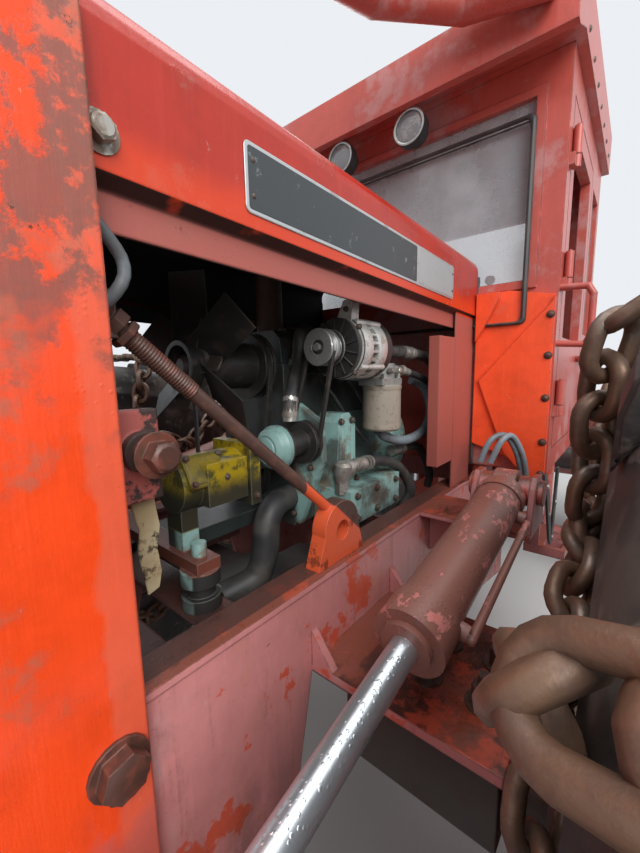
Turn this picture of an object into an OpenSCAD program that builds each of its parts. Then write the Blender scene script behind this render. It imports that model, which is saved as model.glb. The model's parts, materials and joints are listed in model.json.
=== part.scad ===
// Articulated four-wheel cable skidder: a front frame with engine, cab and blade,
// hinged at a vertical pin to a rear frame with winch, arch and fairlead.
// Faces -Y, +X is the machine's left side, +Z is up, millimetres, floor at Z = 0.

/* [Layout] */
// Distance between the two axles
wheelbase = 2900; // [2800:20:3100]
// Distance between the tyre middles of one axle
wheel_track = 2300; // [2240:20:2400]
// Place of the front axle along the machine
front_axle_y = -1300; // [-1340:10:-1260]
// Length from the blade's edge to the rear plate
machine_len = 5380; // [5300:10:5500]

/* [Wheels] */
// Tyre diameter over the lugs
tyre_d = 1600; // [1560:10:1640]
// Tyre width at the sidewalls
tyre_w = 550; // [520:10:600]
// Bead seat diameter of the rim
rim_d = 660; // [640:10:680]
// Height of the tread lugs
lug_h = 42; // [30:1:50]
// Number of lugs on each side of the tread, also half the tyre's flats
lug_n = 12; // [10:1:16]
// Wire diameter of the chain links
chain_wire = 24; // [18:1:30]
// Number of cross chains round one tyre
chain_n = 10; // [8:1:14]

/* [Frame] */
// Outer half width of the frame rails at the front
rail_half = 390; // [370:5:400]
// How far the rails flare out towards the rear
rail_flare = 60; // [0:5:70]
// Thickness of the rail plates
rail_t = 20; // [12:1:30]
// Height of the rail's top face above the floor
rail_top = 1092; // [1080:2:1100]
// Width of the rail's top flange
flange_w = 80; // [60:5:100]
// Radius of the two frame hinge pins
hinge_pin_r = 40; // [30:1:50]

/* [Hood] */
// Outer half width of the hood
hood_half = 390; // [370:5:400]
// Length of the hood
hood_len = 1375; // [1300:5:1400]
// Height of the guard's and hood's top at the front
hood_top = 1995; // [1950:5:2050]
// Sheet thickness of the hood
hood_t = 6; // [4:1:10]
// Depth of the radiator guard ahead of the hood
guard_len = 205; // [180:5:230]

/* [Cab] */
// Outer half width of the cab
cab_half = 660; // [640:5:680]
// Length of the cab shell
cab_len = 1100; // [1050:10:1110]
// Height of the cab floor's underside
cab_floor = 1150; // [1140:2:1170]
// Height of the top of the cab walls
cab_wall_top = 2560; // [2500:10:2600]
// Wall thickness of the cab
cab_t = 40; // [30:2:50]
// Height of the windshield sill
sill_z = 1850; // [1800:10:1900]
// Width of the door opening
door_w = 660; // [600:10:680]
// Height of the door opening's lower edge
door_low = 1230; // [1210:10:1300]
// Height of the door opening's upper edge
door_high = 2440; // [2300:10:2460]

/* [Blade] */
// Width of the front blade
blade_w = 2400; // [2300:20:2500]
// Height of the front blade
blade_h = 740; // [650:10:760]
// Ground clearance of the blade at rest
blade_gap = 30; // [20:5:60]
// Bore diameter of the lift cylinder's barrel, outside
lift_barrel_d = 120; // [100:5:130]
// Diameter of the lift cylinder's rod
lift_rod_d = 50; // [40:2:60]

/* [Rear] */
// Outer half width of the rear frame
rear_half = 360; // [330:5:380]
// Height of the arch above the floor
arch_top = 2330; // [2200:10:2400]
// Drum radius of the winch
drum_r = 110; // [90:5:130]
// Flange radius of the winch drum
drum_flange_r = 215; // [190:5:225]

/* [Hidden] */

// Places worked out from the driving sizes
pivot_y = front_axle_y + wheelbase / 2;
rear_axle_y = front_axle_y + wheelbase;
front_y = -machine_len / 2;
rear_y = machine_len / 2;
wheel_x = wheel_track / 2;
tyre_r = tyre_d / 2;
chain_lift = chain_wire;
front_axle_z = tyre_r + chain_lift;
rear_axle_z = tyre_r;
hood_front_y = -1845;
hood_rear_y = hood_front_y + hood_len;
guard_front_y = hood_front_y - guard_len;
cab_front_y = hood_rear_y + 10;
cab_rear_y = cab_front_y + cab_len;
hood_slope = 1.6;
run_gap = 5;
pin_gap = 0.05;
fit_gap = 0.3;

paint = "orangered";
faded = "indianred";
dark = "dimgray";
steel = "silver";

// Common shapes
module both_sides() {
    children();
    mirror([1, 0, 0]) children();
}

// A profile of [y, z] points, swept along X from x0 to x1
module slab_x(x0, x1, points) {
    translate([x0, 0, 0]) rotate([90, 0, 90]) linear_extrude(x1 - x0) polygon(points);
}

// A profile of [x, z] points, swept along Y from y0 to y1
module slab_y(y0, y1, points) {
    translate([0, y1, 0]) rotate([90, 0, 0]) linear_extrude(y1 - y0) polygon(points);
}

// A profile of [x, y] points, swept along Z from z0 to z1
module slab_z(z0, z1, points) {
    translate([0, 0, z0]) linear_extrude(z1 - z0) polygon(points);
}

module block(x0, x1, y0, y1, z0, z1) {
    translate([x0, y0, z0]) cube([x1 - x0, y1 - y0, z1 - z0]);
}

module round_x(x0, x1, y, z, r, sides = 48) {
    translate([x0, y, z]) rotate([0, 90, 0]) cylinder(h = x1 - x0, r = r, $fn = sides);
}

module round_y(y0, y1, x, z, r, sides = 48) {
    translate([x, y0, z]) rotate([-90, 0, 0]) cylinder(h = y1 - y0, r = r, $fn = sides);
}

module round_z(z0, z1, x, y, r, sides = 48) {
    translate([x, y, z0]) cylinder(h = z1 - z0, r = r, $fn = sides);
}

// The same thing on both sides of a plane at x
module mirror_at(x) {
    translate([x, 0, 0]) both_sides() children();
}

// A straight round bar between two points
module bar(a, b, r, sides = 24) {
    d = b - a;
    flat = norm([d.x, d.y]);
    translate(a) rotate([0, atan2(flat, d.z), atan2(d.y, d.x)])
        cylinder(h = norm(d), r = r, $fn = sides);
}

// A bent tube through the listed points, with ball corners
module bent_tube(points, r, sides = 24) {
    for (i = [0 : len(points) - 2]) bar(points[i], points[i + 1], r, sides);
    for (i = [1 : len(points) - 2]) translate(points[i]) sphere(r = r + 0.5, $fn = sides);
}

// Front frame
rail_front_y = -1890;
rail_bend_y = -560;
rail_rear_y = pivot_y - 300;
rail_low = 560;
rail_notch_z = 890;
pad_y0 = front_axle_y - 180;
pad_y1 = front_axle_y + 180;
pad_x1 = 780;
pad_top = 910;
arm_pin = [-1760, 600];
arm_pin_r = 45;
arm_pin_end = 672;
lift_base = [-860, 1190];
lift_pin_r = 25;
lift_x = 620;
steer_base = [280, pivot_y - 640];
steer_z = 830;
steer_pin_r = 22;
hinge_t = 30;
hinge_top_z = 1040;
hinge_low_z = 590;
hinge_end_r = 110;
cross_plate_y = [-1820, -1665, -1095];
cross_plate_z = rail_top - 48;

function rail_plan(out, wide) = [
    [out - wide, rail_front_y], [out, rail_front_y], [out, rail_bend_y],
    [out + rail_flare, rail_rear_y], [out + rail_flare - wide, rail_rear_y],
    [out - wide, rail_bend_y]];

module rail_outline() {
    slab_x(200, 600, [
        [rail_front_y, 760], [rail_front_y + 120, rail_low - 20], [-1640, rail_low - 20],
        [pad_y0 - 60, rail_low + 60], [pad_y0, rail_notch_z], [pad_y1, rail_notch_z],
        [pad_y1 + 60, rail_low + 60], [pad_y1 + 200, rail_low], [rail_rear_y, rail_low],
        [rail_rear_y, rail_top - 1], [rail_front_y, rail_top - 1]]);
}

module hinge_lug(z0, back) {
    difference() {
        union() {
            slab_z(z0, z0 + hinge_t, [
                [-back, rail_rear_y - 20], [back, rail_rear_y - 20],
                [hinge_end_r, pivot_y - 10], [-hinge_end_r, pivot_y - 10]]);
            round_z(z0, z0 + hinge_t, 0, pivot_y, hinge_end_r);
        }
        round_z(z0 - 1, z0 + hinge_t + 1, 0, pivot_y, hinge_pin_r + pin_gap);
    }
}

module lift_bracket() {
    ear_t = 16;
    ear_in = lift_barrel_d / 2 + 8;
    boss_in = 35;
    block(rail_half - 20, lift_x + ear_in + ear_t, lift_base.x - 90, lift_base.x + 110,
        rail_top - 14, rail_top);
    // Gusset under the shelf
    slab_y(lift_base.x - 10, lift_base.x + 10, [
        [rail_half - 5, rail_top - 160], [lift_x + ear_in, rail_top - 10],
        [rail_half - 5, rail_top - 10]]);
    for (x = [lift_x - ear_in - ear_t, lift_x + ear_in])
        slab_x(x, x + ear_t, [
            [lift_base.x - 80, rail_top - 5], [lift_base.x + 100, rail_top - 5],
            [lift_base.x + 50, lift_base.y + 20], [lift_base.x + 25, lift_base.y + 48],
            [lift_base.x - 25, lift_base.y + 48], [lift_base.x - 50, lift_base.y + 20]]);
    mirror_at(lift_x) round_x(boss_in, ear_in + 5, lift_base.x, lift_base.y, 42);
    mirror_at(lift_x) round_x(ear_in + 5, ear_in + ear_t + 14, lift_base.x, lift_base.y, 36);
    round_x(lift_x - ear_in - ear_t - 12, lift_x + ear_in + ear_t + 12, lift_base.x, lift_base.y,
        lift_pin_r);
}

module steer_bracket() {
    plate_t = 15;
    eye_half = 30;
    for (z = [steer_z - eye_half - plate_t - run_gap, steer_z + eye_half + run_gap])
        block(steer_base.x - 60, rail_half - 5, steer_base.y - 55, steer_base.y + 55,
            z, z + plate_t);
    round_z(steer_z - eye_half - plate_t - 12, steer_z + eye_half + plate_t + 12,
        steer_base.x, steer_base.y, steer_pin_r);
}

module front_frame() {
    color(faded) {
        both_sides() {
            intersection() {
                slab_z(rail_low - 30, rail_top, rail_plan(rail_half, rail_t));
                rail_outline();
            }
            slab_z(rail_top - 14, rail_top, rail_plan(rail_half + 2, flange_w));
            // Axle cradle: pad, its front and rear walls and the ribs between them
            block(rail_half - rail_t - 60, pad_x1, pad_y0, pad_y1, rail_notch_z, pad_top);
            for (y = [pad_y0, pad_y1 - 20])
                slab_y(y, y + 20, [
                    [rail_half - 5, 990], [rail_half + 60, pad_top - 5], [pad_x1, pad_top - 5],
                    [pad_x1, pad_top - 20], [rail_half - 5, pad_top - 20]]);
            lift_bracket();
            steer_bracket();
        }
        // Front cross box, belly plates and engine cross plates
        block(-rail_half, rail_half, rail_front_y, rail_front_y + 25, 780, rail_top - 20);
        block(-rail_half + 5, rail_half - 5, rail_front_y + 120, -1600, rail_low - 20, rail_low - 6);
        block(-rail_half + 5, rail_half - 5, pad_y1 + 190, rail_rear_y - 10, rail_low, rail_low + 14);
        for (y = cross_plate_y)
            block(-rail_half + 5, rail_half - 5, y, y + 90, cross_plate_z - 12, cross_plate_z);
        // Arm pins with their bosses
        round_x(-arm_pin_end, arm_pin_end, arm_pin.x, arm_pin.y, arm_pin_r);
        both_sides() {
            round_x(rail_half - 5, rail_half + 120, arm_pin.x, arm_pin.y, arm_pin_r + 25);
            round_x(arm_pin_end - 7, arm_pin_end, arm_pin.x, arm_pin.y, arm_pin_r + 12);
        }
        // Rear bulkhead with its window, and the hinge lugs
        difference() {
            block(-rail_half - rail_flare + 5, rail_half + rail_flare - 5, rail_rear_y - 20,
                rail_rear_y, rail_low, rail_top - 5);
            block(-340, 340, rail_rear_y - 30, rail_rear_y + 10, 680, 980);
        }
        hinge_lug(hinge_top_z, 330);
        hinge_lug(hinge_low_z, 330);
    }
}

// Axles
axle_r = 95;
diff_r = 190;
hub_flange_x = wheel_x - tyre_w / 2 + 23;
spigot_r = 120;

module axle(y, z, nose) {
    round_x(-hub_flange_x, hub_flange_x, y, z, axle_r);
    both_sides() {
        round_x(hub_flange_x - 60, hub_flange_x, y, z, 170);
        round_x(hub_flange_x - 10, hub_flange_x + 45, y, z, spigot_r);
        // Brake housing
        round_x(hub_flange_x - 150, hub_flange_x - 55, y, z, 135);
    }
    translate([0, y, z]) sphere(r = diff_r, $fn = 48);
    // Pinion housing and drive flange, towards the frame hinge
    mirror([0, nose, 0]) {
        round_y(mirrored(y, nose), mirrored(y, nose) + 270, 0, z, 90);
        round_y(mirrored(y, nose) + 265, mirrored(y, nose) + 290, 0, z, 75);
    }
}

function mirrored(y, flip) = flip == 1 ? -y : y;

module front_axle() {
    color(faded) {
        difference() {
            axle(front_axle_y, front_axle_z, 0);
            block(-pad_x1, pad_x1, pad_y0 - 200, pad_y1 + 200, rail_notch_z - fit_gap, 1300);
        }
        both_sides() difference() {
            block(470, 770, pad_y0 + 20, pad_y1 - 20, front_axle_z - 90, rail_notch_z - fit_gap);
            round_x(460, 780, front_axle_y, front_axle_z, axle_r - 20);
        }
    }
}

module rear_axle() {
    color(paint) difference() {
        axle(rear_axle_y, rear_axle_z, 1);
        block(-700, 700, rear_axle_y - 300, rear_axle_y + 300, rear_notch_z - fit_gap, 1300);
    }
}

// Radiator guard: a heavy welded shell round the radiator, with a barred front
guard_grow = 25;
guard_low = 740;
guard_wall = 30;
guard_rake = 60;
slat_pitch = 98;

function guard_outline(inset) = [
    [hood_half + guard_grow - inset, guard_low + inset],
    [hood_half + guard_grow - inset, hood_top - 60],
    [hood_half - 40, hood_top + 20 - inset], [-hood_half + 40, hood_top + 20 - inset],
    [-hood_half - guard_grow + inset, hood_top - 60],
    [-hood_half - guard_grow + inset, guard_low + inset]];

module radiator_guard() {
    top = hood_top + 20;
    slat_n = floor((top - guard_low - 120) / slat_pitch);
    color(paint) {
        difference() {
            intersection() {
                slab_y(guard_front_y, hood_front_y, guard_outline(0));
                slab_x(-500, 500, [
                    [guard_front_y + guard_rake, guard_low], [guard_front_y, guard_low + 120],
                    [guard_front_y, top - 200], [guard_front_y + guard_rake, top],
                    [hood_front_y, top], [hood_front_y, guard_low]]);
            }
            slab_y(guard_front_y - 1, hood_front_y + 1, guard_outline(guard_wall));
            // Room for the rails with their flanges
            block(-rail_half - 2 - fit_gap, rail_half + 2 + fit_gap, rail_front_y - fit_gap,
                hood_front_y + 1, guard_low - 1, rail_top + fit_gap);
        }
        // Grille of tilted slats on three uprights
        for (i = [1 : slat_n])
            translate([0, guard_front_y + 75, guard_low + 40 + i * slat_pitch]) rotate([25, 0, 0])
                block(-hood_half, hood_half, -9, 9, -32, 32);
        for (x = [-200, 0, 200])
            block(x - 12, x + 12, guard_front_y + 70, guard_front_y + 100, guard_low + 10, top - 10);
        // Bracket with a stub pin, inside the left wall
        block(318, hood_half - 3, hood_front_y - 35, hood_front_y - 5, 1355, 1490);
        block(318, 345, hood_front_y - 30, hood_front_y + 83, 1355, 1490);
        round_x(340, 402, hood_front_y + 55, 1430, 16);
        round_x(340, 360, hood_front_y + 55, 1430, 30);
    }
}

radiator_y = hood_front_y + 30;
module radiator() {
    color(dark) difference() {
        union() {
            block(-305, 305, hood_front_y - 90, radiator_y, rail_top - 20 + fit_gap, 1860);
            block(-250, 250, hood_front_y - 80, radiator_y - 20, 1855, 1900);
        }
        // Core set back between the tanks
        block(-270, 270, radiator_y - 12, radiator_y + 1, rail_top + 60, 1800);
    }
}

// Hood: a bent sheet that falls towards the cab, with a stepped lip and a door post panel
hood_round = 50;
hood_bend_z = hood_top - 217;
lip_in = 24;
lip_low = hood_top - 277;

// One half of the sheet's section, from the lip to the crown, moved inwards by inset
function hood_side(inset) = concat(
    [[hood_half - lip_in - inset, lip_low - 20 * sign(inset)],
     [hood_half - lip_in - inset, hood_bend_z - 14 + inset / 2],
     [hood_half - inset, hood_bend_z + inset / 2]],
    [for (a = [0 : 18 : 90])
        [hood_half - hood_round + (hood_round - inset) * cos(a),
         hood_top - 5 - hood_round + (hood_round - inset) * sin(a)]]);

function flipped(points) = [for (i = [len(points) - 1 : -1 : 0]) [-points[i].x, points[i].y]];

module hood() {
    panel_y = hood_rear_y - 185;
    panel_x = hood_half - 10;
    color(paint) {
        intersection() {
            translate([0, hood_front_y, hood_top]) rotate([-hood_slope, 0, 0])
                translate([0, 0, -hood_top]) difference() {
                    slab_y(-40, hood_len + 60, concat(hood_side(0), flipped(hood_side(0))));
                    slab_y(-41, hood_len + 61,
                        concat(hood_side(hood_t), flipped(hood_side(hood_t))));
                    round_z(hood_top - 50, hood_top + 50, -exhaust_at.x,
                        exhaust_at.y - hood_front_y, exhaust_r + 12);
                }
            block(-hood_half, hood_half, hood_front_y + fit_gap, hood_rear_y, 1500, hood_top);
        }
        both_sides() {
            // Panel below the lip, its rolled edge and the channel on it
            block(panel_x - hood_t, panel_x, panel_y, hood_rear_y, rail_top + fit_gap,
                hood_bend_z - 30);
            block(panel_x - 30, panel_x - 1, hood_rear_y - 8, hood_rear_y, rail_top + fit_gap,
                hood_bend_z - 30);
            difference() {
                block(panel_x - 40, panel_x - 2, panel_y - 137, panel_y + 5, 1200, 1650);
                block(panel_x - 41, panel_x - 8, panel_y - 131, panel_y - 1, 1199, 1651);
            }
        }
        // Filler cap
        round_z(hood_top - 70, hood_top + 34, 170, hood_front_y + 845, 38);
        round_z(hood_top - 12, hood_top + 30, 170, hood_front_y + 845, 47);
    }
}

// Engine: block, head and cover, with the fittings that show through the open side
engine_y0 = hood_front_y + 595;
engine_y1 = engine_y0 + 450;
block_x0 = -170;
block_x1 = 130;
crank_z = 1240;
pan_z = crank_z - 160;
deck_z = crank_z + 160;
head_x1 = 100;
head_z = deck_z + 160;
cover_z = head_z + 105;
fan_x = 30;
fan_z = 1558;
generator_x = 260;
generator_z = 1600;
idler_x = 192;
idler_z = 1348;
pump_x = 134;
pump_z = 1300;
mount_y = cross_plate_y[1] + 45;
filter_x = 250;
filter_y = engine_y0 + 300;
filter_z = head_z - 68;
mount_x = 200;
beam_z0 = cross_plate_z + 84;
beam_z1 = beam_z0 + 28;

module engine() {
    color("cadetblue") {
        block(block_x0, block_x1, engine_y0, engine_y1, pan_z, deck_z);
        block(block_x0 + 20, head_x1, engine_y0, engine_y1 - 10, deck_z - 5, head_z);
        slab_y(engine_y0 + 25, engine_y1 - 25, [
            [head_x1 - 210, head_z - 5], [head_x1 - 30, head_z - 5], [head_x1 - 38, cover_z - 25],
            [head_x1 - 65, cover_z], [head_x1 - 175, cover_z], [head_x1 - 202, cover_z - 25]]);
        round_y(engine_y1 - 5, engine_y1 + 105, 0, crank_z + 25, 208, 64);
        // Front plate and the ribbed cover above the pump drive
        slab_y(engine_y0 - 0.01, engine_y0 + 22, [
            [block_x0 - 20, pan_z + 10], [block_x1 + 20, pan_z + 10], [block_x1 + 110, crank_z + 50],
            [block_x1 + 105, deck_z], [block_x1 + 20, deck_z + 50], [block_x0 - 20, deck_z + 50]]);
        slab_x(block_x1 - 5, block_x1 + 85, [
            [engine_y0 + 95, crank_z - 55], [engine_y0 + 205, crank_z - 55],
            [engine_y0 + 188, deck_z - 15], [engine_y0 + 165, deck_z + 12],
            [engine_y0 + 130, deck_z + 12], [engine_y0 + 112, deck_z - 15]]);
        // Pump box on the block's side
        block(block_x1 - 30, block_x1 + 150, engine_y0 + 80, engine_y0 + 370, pan_z + 5, pan_z + 110);
        round_y(engine_y0 + 360, engine_y0 + 385, block_x1 + 95, pan_z + 70, 40);
        // Fuel filter: bracket, head and canister
        block(head_x1 - 5, filter_x, filter_y - 20, filter_y + 20, filter_z + 13, filter_z + 38);
        block(filter_x - 48, filter_x + 40, filter_y - 62, filter_y + 62, filter_z, filter_z + 20);
        round_z(filter_z - 2, filter_z + 68, filter_x - 5, filter_y, 46);
        round_z(filter_z - 142, filter_z + 1, filter_x, filter_y, 62);
        // Hydraulic pump ahead of the engine, with its shaft and cover
        round_y(mount_y - 20, engine_y0 - 220, pump_x, pump_z, 60);
        block(pump_x - 72, pump_x + 72, engine_y0 - 225, engine_y0 - 195, pump_z - 74, pump_z + 74);
        block(pump_x + 30, pump_x + 78, mount_y + 25, mount_y + 130, pump_z - 45, pump_z + 50);
        round_y(engine_y0 - 200, engine_y0 + 10, pump_x - 12, pump_z, 20);
        // Front support beam, its neck and the stacked rubber mounts
        block(-mount_x - 35, mount_x + 35, mount_y - 28, mount_y + 28, beam_z0, beam_z1);
        block(-70, 70, mount_y, engine_y0 + 10, beam_z0 - 18, beam_z1 - 6);
        block(pump_x - 30, pump_x + 30, mount_y - 15, mount_y + 25, beam_z1 - 6, pump_z - 40);
        both_sides() {
            round_z(cross_plate_z + fit_gap, beam_z0 - 56, mount_x, mount_y, 42);
            round_z(beam_z0 - 58, beam_z0 - 28, mount_x, mount_y, 30);
            round_z(beam_z0 - 30, beam_z0 + 2, mount_x, mount_y, 42);
            round_z(beam_z1 - 6, beam_z1 + 29, mount_x, mount_y, 16);
            block(120, 175, cross_plate_y[2] + 12, cross_plate_y[2] + 78, cross_plate_z + fit_gap,
                pan_z + 5);
        }
    }
}

// A run of V-belt between two pulleys at [x, z], on the side given by way
module belt_run(c1, r1, c2, r2, way, y0, y1) {
    d = c2 - c1;
    a = atan2(d.y, d.x) + way * acos((r1 - r2) / norm(d));
    u = [cos(a), sin(a)];
    t = 9;
    slab_y(y0, y1, way > 0
        ? [c1 + r1 * u, c1 + (r1 + t) * u, c2 + (r2 + t) * u, c2 + r2 * u]
        : [c1 + r1 * u, c2 + r2 * u, c2 + (r2 + t) * u, c1 + (r1 + t) * u]);
}

module pulley(x, z, r, y0, y1) {
    rim_t = 8;
    round_y(y0, y0 + rim_t, x, z, r);
    round_y(y0 + rim_t - 1, y1 - rim_t + 1, x, z, r - 9);
    round_y(y1 - rim_t, y1, x, z, r);
}

module engine_drive() {
    fan_y = engine_y0 - 250;
    belt_y = engine_y0 - 22;
    fan_r = 228;
    color(dark) {
        // Fan with its hub, pulley and the crank pulley it is belted to
        for (a = [30 : 60 : 330])
            translate([fan_x, fan_y, fan_z]) rotate([0, -a, 0]) rotate([28, 0, 0])
                block(40, fan_r, -2, 2, -48, 48);
        difference() {
            round_y(fan_y - 40, engine_y0 - 85, fan_x, fan_z, 62);
            round_y(fan_y - 41, fan_y - 12, fan_x, fan_z, 50);
        }
        pulley(fan_x, fan_z, 92, engine_y0 - 86, engine_y0 - 46);
        round_y(engine_y0 - 50, engine_y0 - fit_gap, fan_x, fan_z, 45);
        pulley(0, crank_z, 80, engine_y0 - 86, engine_y0 - 46);
        round_y(engine_y0 - 50, engine_y0 - fit_gap, 0, crank_z, 40);
        for (way = [-1, 1])
            belt_run([fan_x, fan_z], 82, [0, crank_z], 70, way, engine_y0 - 74, engine_y0 - 58);
        // Generator with its double pulley, fan and ears
        pulley(generator_x, generator_z, 45, belt_y - 12, belt_y + 16);
        pulley(generator_x, generator_z, 47, belt_y + 14, belt_y + 42);
        round_y(belt_y + 40, belt_y + 62, generator_x, generator_z, 30);
        round_y(belt_y + 60, belt_y + 72, generator_x, generator_z, 78);
        round_y(belt_y + 70, belt_y + 235, generator_x, generator_z, 70);
        round_y(belt_y + 78, belt_y + 122, generator_x, generator_z, 84);
        round_y(belt_y + 150, belt_y + 222, generator_x, generator_z, 84);
        slab_y(belt_y + 90, belt_y + 112, [
            [generator_x - 25, generator_z + 60], [generator_x + 40, generator_z + 55],
            [generator_x + 42, generator_z + 112], [generator_x + 15, generator_z + 118]]);
        block(head_x1 + fit_gap, generator_x - 40, belt_y + 90, belt_y + 130, head_z - 25, head_z - 2);
        // Idler pulley on its neck, with a domed cap
        round_y(engine_y0 - 60, engine_y0 - fit_gap - 0.01, idler_x, idler_z, 30);
        pulley(idler_x, idler_z, 58, belt_y - 12, belt_y + 16);
        round_y(engine_y0 - 125, engine_y0 - 30, idler_x, idler_z, 34);
        intersection() {
            translate([idler_x, engine_y0 - 75, idler_z]) sphere(r = 75, $fn = 48);
            round_y(engine_y0 - 160, engine_y0 - 108, idler_x, idler_z, 54);
        }
        for (way = [-1, 1])
            belt_run([generator_x, generator_z], 35, [idler_x, idler_z], 48, way, belt_y - 3, belt_y + 7);
    }
}

module brace_rod() {
    foot = [front_axle_y - 45, rail_top + 78];
    ear_x0 = 338;
    ear_x1 = 378;
    ear_r = 66;
    color(dark) {
        bar([320, radiator_y - 5, 1626], [ear_x0 + 18, foot.x + 3, foot.y + 26], 13);
        block(305 + fit_gap, 336, radiator_y - 35, radiator_y + 12, 1590, 1655);
    }
    // Eye bracket on the rail's flange
    color(paint) difference() {
        union() {
            round_x(ear_x0, ear_x1, foot.x, foot.y, ear_r);
            slab_x(ear_x0, ear_x1, [
                [foot.x - 92, rail_top + fit_gap], [foot.x + 88, rail_top + fit_gap],
                [foot.x + ear_r - 2, foot.y], [foot.x - ear_r + 2, foot.y]]);
        }
        round_x(ear_x0 - 1, ear_x1 + 1, foot.x, foot.y - 6, 24);
    }
}

// Cowl between hood and cab
module cowl() {
    x0 = hood_half + 1;
    x1 = cab_half - 5;
    top = sill_z - 31;
    color(paint) both_sides() {
        slab_y(cab_front_y - 14, cab_front_y - fit_gap, [
            [x0, 1240], [x0 + 130, 1200], [x1 - 25, 1085], [x1, 1130], [x1, 1790],
            [x0 + 120, top], [x0, top]]);
        // Folded upper fin and the raised strip beside the hood
        slab_y(cab_front_y - 26, cab_front_y - 13, [[x0 + 20, 1490], [x1 - 10, 1762], [x1, 1785],
            [x1, 1140], [x1 - 30, 1100], [x0 + 125, 1215]]);
        slab_y(cab_front_y - 34, cab_front_y - 13, [[x0 + 4, 1640], [x0 + 40, 1700], [x0 + 84, 1790],
            [x0 + 84, top], [x0 + 4, top]]);
    }
}

// Cab shell with its openings
module cab() {
    half = cab_half;
    color(paint) {
        difference() {
            block(-half, half, cab_front_y, cab_rear_y, cab_floor, cab_wall_top);
            block(-half + cab_t, half - cab_t, cab_front_y + cab_t, cab_rear_y - cab_t,
                cab_floor + cab_t, cab_wall_top + 1);
            block(-half + 100, half - 100, cab_front_y - 1, cab_front_y + cab_t + 1,
                sill_z, door_high);
            block(-half + 160, half - 160, cab_rear_y - cab_t - 1, cab_rear_y + 1,
                1500, 2400);
            both_sides() {
                block(half - cab_t - 1, half + 1, door_y0, door_y1, door_low, door_high);
                block(half - cab_t - 1, half + 1, door_y1 + 60, cab_rear_y - 70, 1700, 2380);
            }
        }
        // Raised frames round the windshield and the rear window
        for (w = [[cab_front_y - 10, 100, sill_z, door_high], [cab_rear_y - 5, 160, 1500, 2400]])
            difference() {
                block(-half + w[1] - 30, half - w[1] + 30, w[0], w[0] + 15, w[2] - 30, w[3] + 30);
                block(-half + w[1], half - w[1], w[0] - 1, w[0] + 16, w[2], w[3]);
            }
        // Grab handles beside the windshield
        both_sides() bent_tube([
            [half - 8, cab_front_y + 25, 1815], [half + 82, cab_front_y + 25, 1808],
            [half + 98, cab_front_y + 25, 1780], [half + 98, cab_front_y + 25, 1640],
            [half + 82, cab_front_y + 25, 1615], [half - 8, cab_front_y + 25, 1622]], 11, 18);
        // Fixed knuckle and pin of each door hinge
        both_sides() for (z = door_hinge_z) {
            round_z(z - 42, z - 2, door_axis.x, door_axis.y, 13, 24);
            block(half - 5, door_axis.x, door_y0 - 40, door_y0, z - 42, z - 2);
            round_z(z - 42, z + 95, door_axis.x, door_axis.y, door_pin_r, 24);
        }
        // Feet on the rails
        both_sides() for (y = [cab_front_y + 20, rail_rear_y - 110])
            block(rail_half, rail_half + 50, y, y + 100, rail_top + fit_gap, cab_floor + 1);
    }
}

door_y0 = cab_front_y + 70;
door_y1 = door_y0 + door_w;
door_axis = [cab_half + 16, door_y0];
door_hinge_z = [1400, 1850, 2250];
door_pin_r = 6;

module cab_roof() {
    color(paint) difference() {
        slab_x(-cab_half - 30, cab_half + 30, [
            [cab_front_y - 180, cab_wall_top - 60], [cab_front_y - 180, cab_wall_top + 100],
            [cab_front_y - 20, 2740], [cab_rear_y + 40, 2740], [cab_rear_y + 40, cab_wall_top + fit_gap],
            [cab_front_y - 30, cab_wall_top + fit_gap], [cab_front_y - 150, cab_wall_top - 60]]);
        block(-cab_half + 20, cab_half - 20, cab_front_y + 40, cab_rear_y - 40,
            cab_wall_top - 1, 2690);
    }
}

riser_r = 52;
module limb_riser() {
    foot = [170, guard_front_y + 125];
    top = hood_top + 20 + fit_gap;
    color(paint) {
        difference() {
            bent_tube([
                [cab_half - 20, cab_front_y - 180 - riser_r - fit_gap, 2600],
                [hood_half + 10, cab_front_y - 260, 2640], [190, cab_front_y - 440, 2660],
                [foot.x, foot.y + 240, 2400], [foot.x, foot.y, top + 60], [foot.x, foot.y, top - 40]],
                riser_r);
            block(0, 400, foot.y - 100, foot.y + 100, top - 150, top);
        }
        block(foot.x - 65, foot.x + 65, foot.y - 63, foot.y + 65, top, top + 14);
    }
}

module cab_glass() {
    color("lightblue", 0.4) {
        block(-cab_half + 100 + fit_gap, cab_half - 100 - fit_gap, cab_front_y + 12, cab_front_y + 20,
            sill_z + fit_gap, door_high - fit_gap);
        both_sides() block(cab_half - 26, cab_half - 18, door_y1 + 60 + fit_gap,
            cab_rear_y - 70 - fit_gap, 1700 + fit_gap, 2380 - fit_gap);
    }
}

module seat() {
    y1 = cab_rear_y - 80;
    color("black") {
        slab_x(-240, 240, [
            [y1 - 500, 1500], [y1 - 480, 1580], [y1 - 430, 1605], [y1 - 100, 1590],
            [y1 - 100, 1480], [y1 - 490, 1480]]);
        slab_x(-225, 225, [
            [y1 - 120, 1575], [y1 - 90, 1600], [y1 - 50, 2080], [y1, 2100], [y1 + 5, 1575]]);
        block(-150, 150, y1 - 440, y1 - 120, cab_floor + cab_t + fit_gap, 1485);
    }
}

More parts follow.
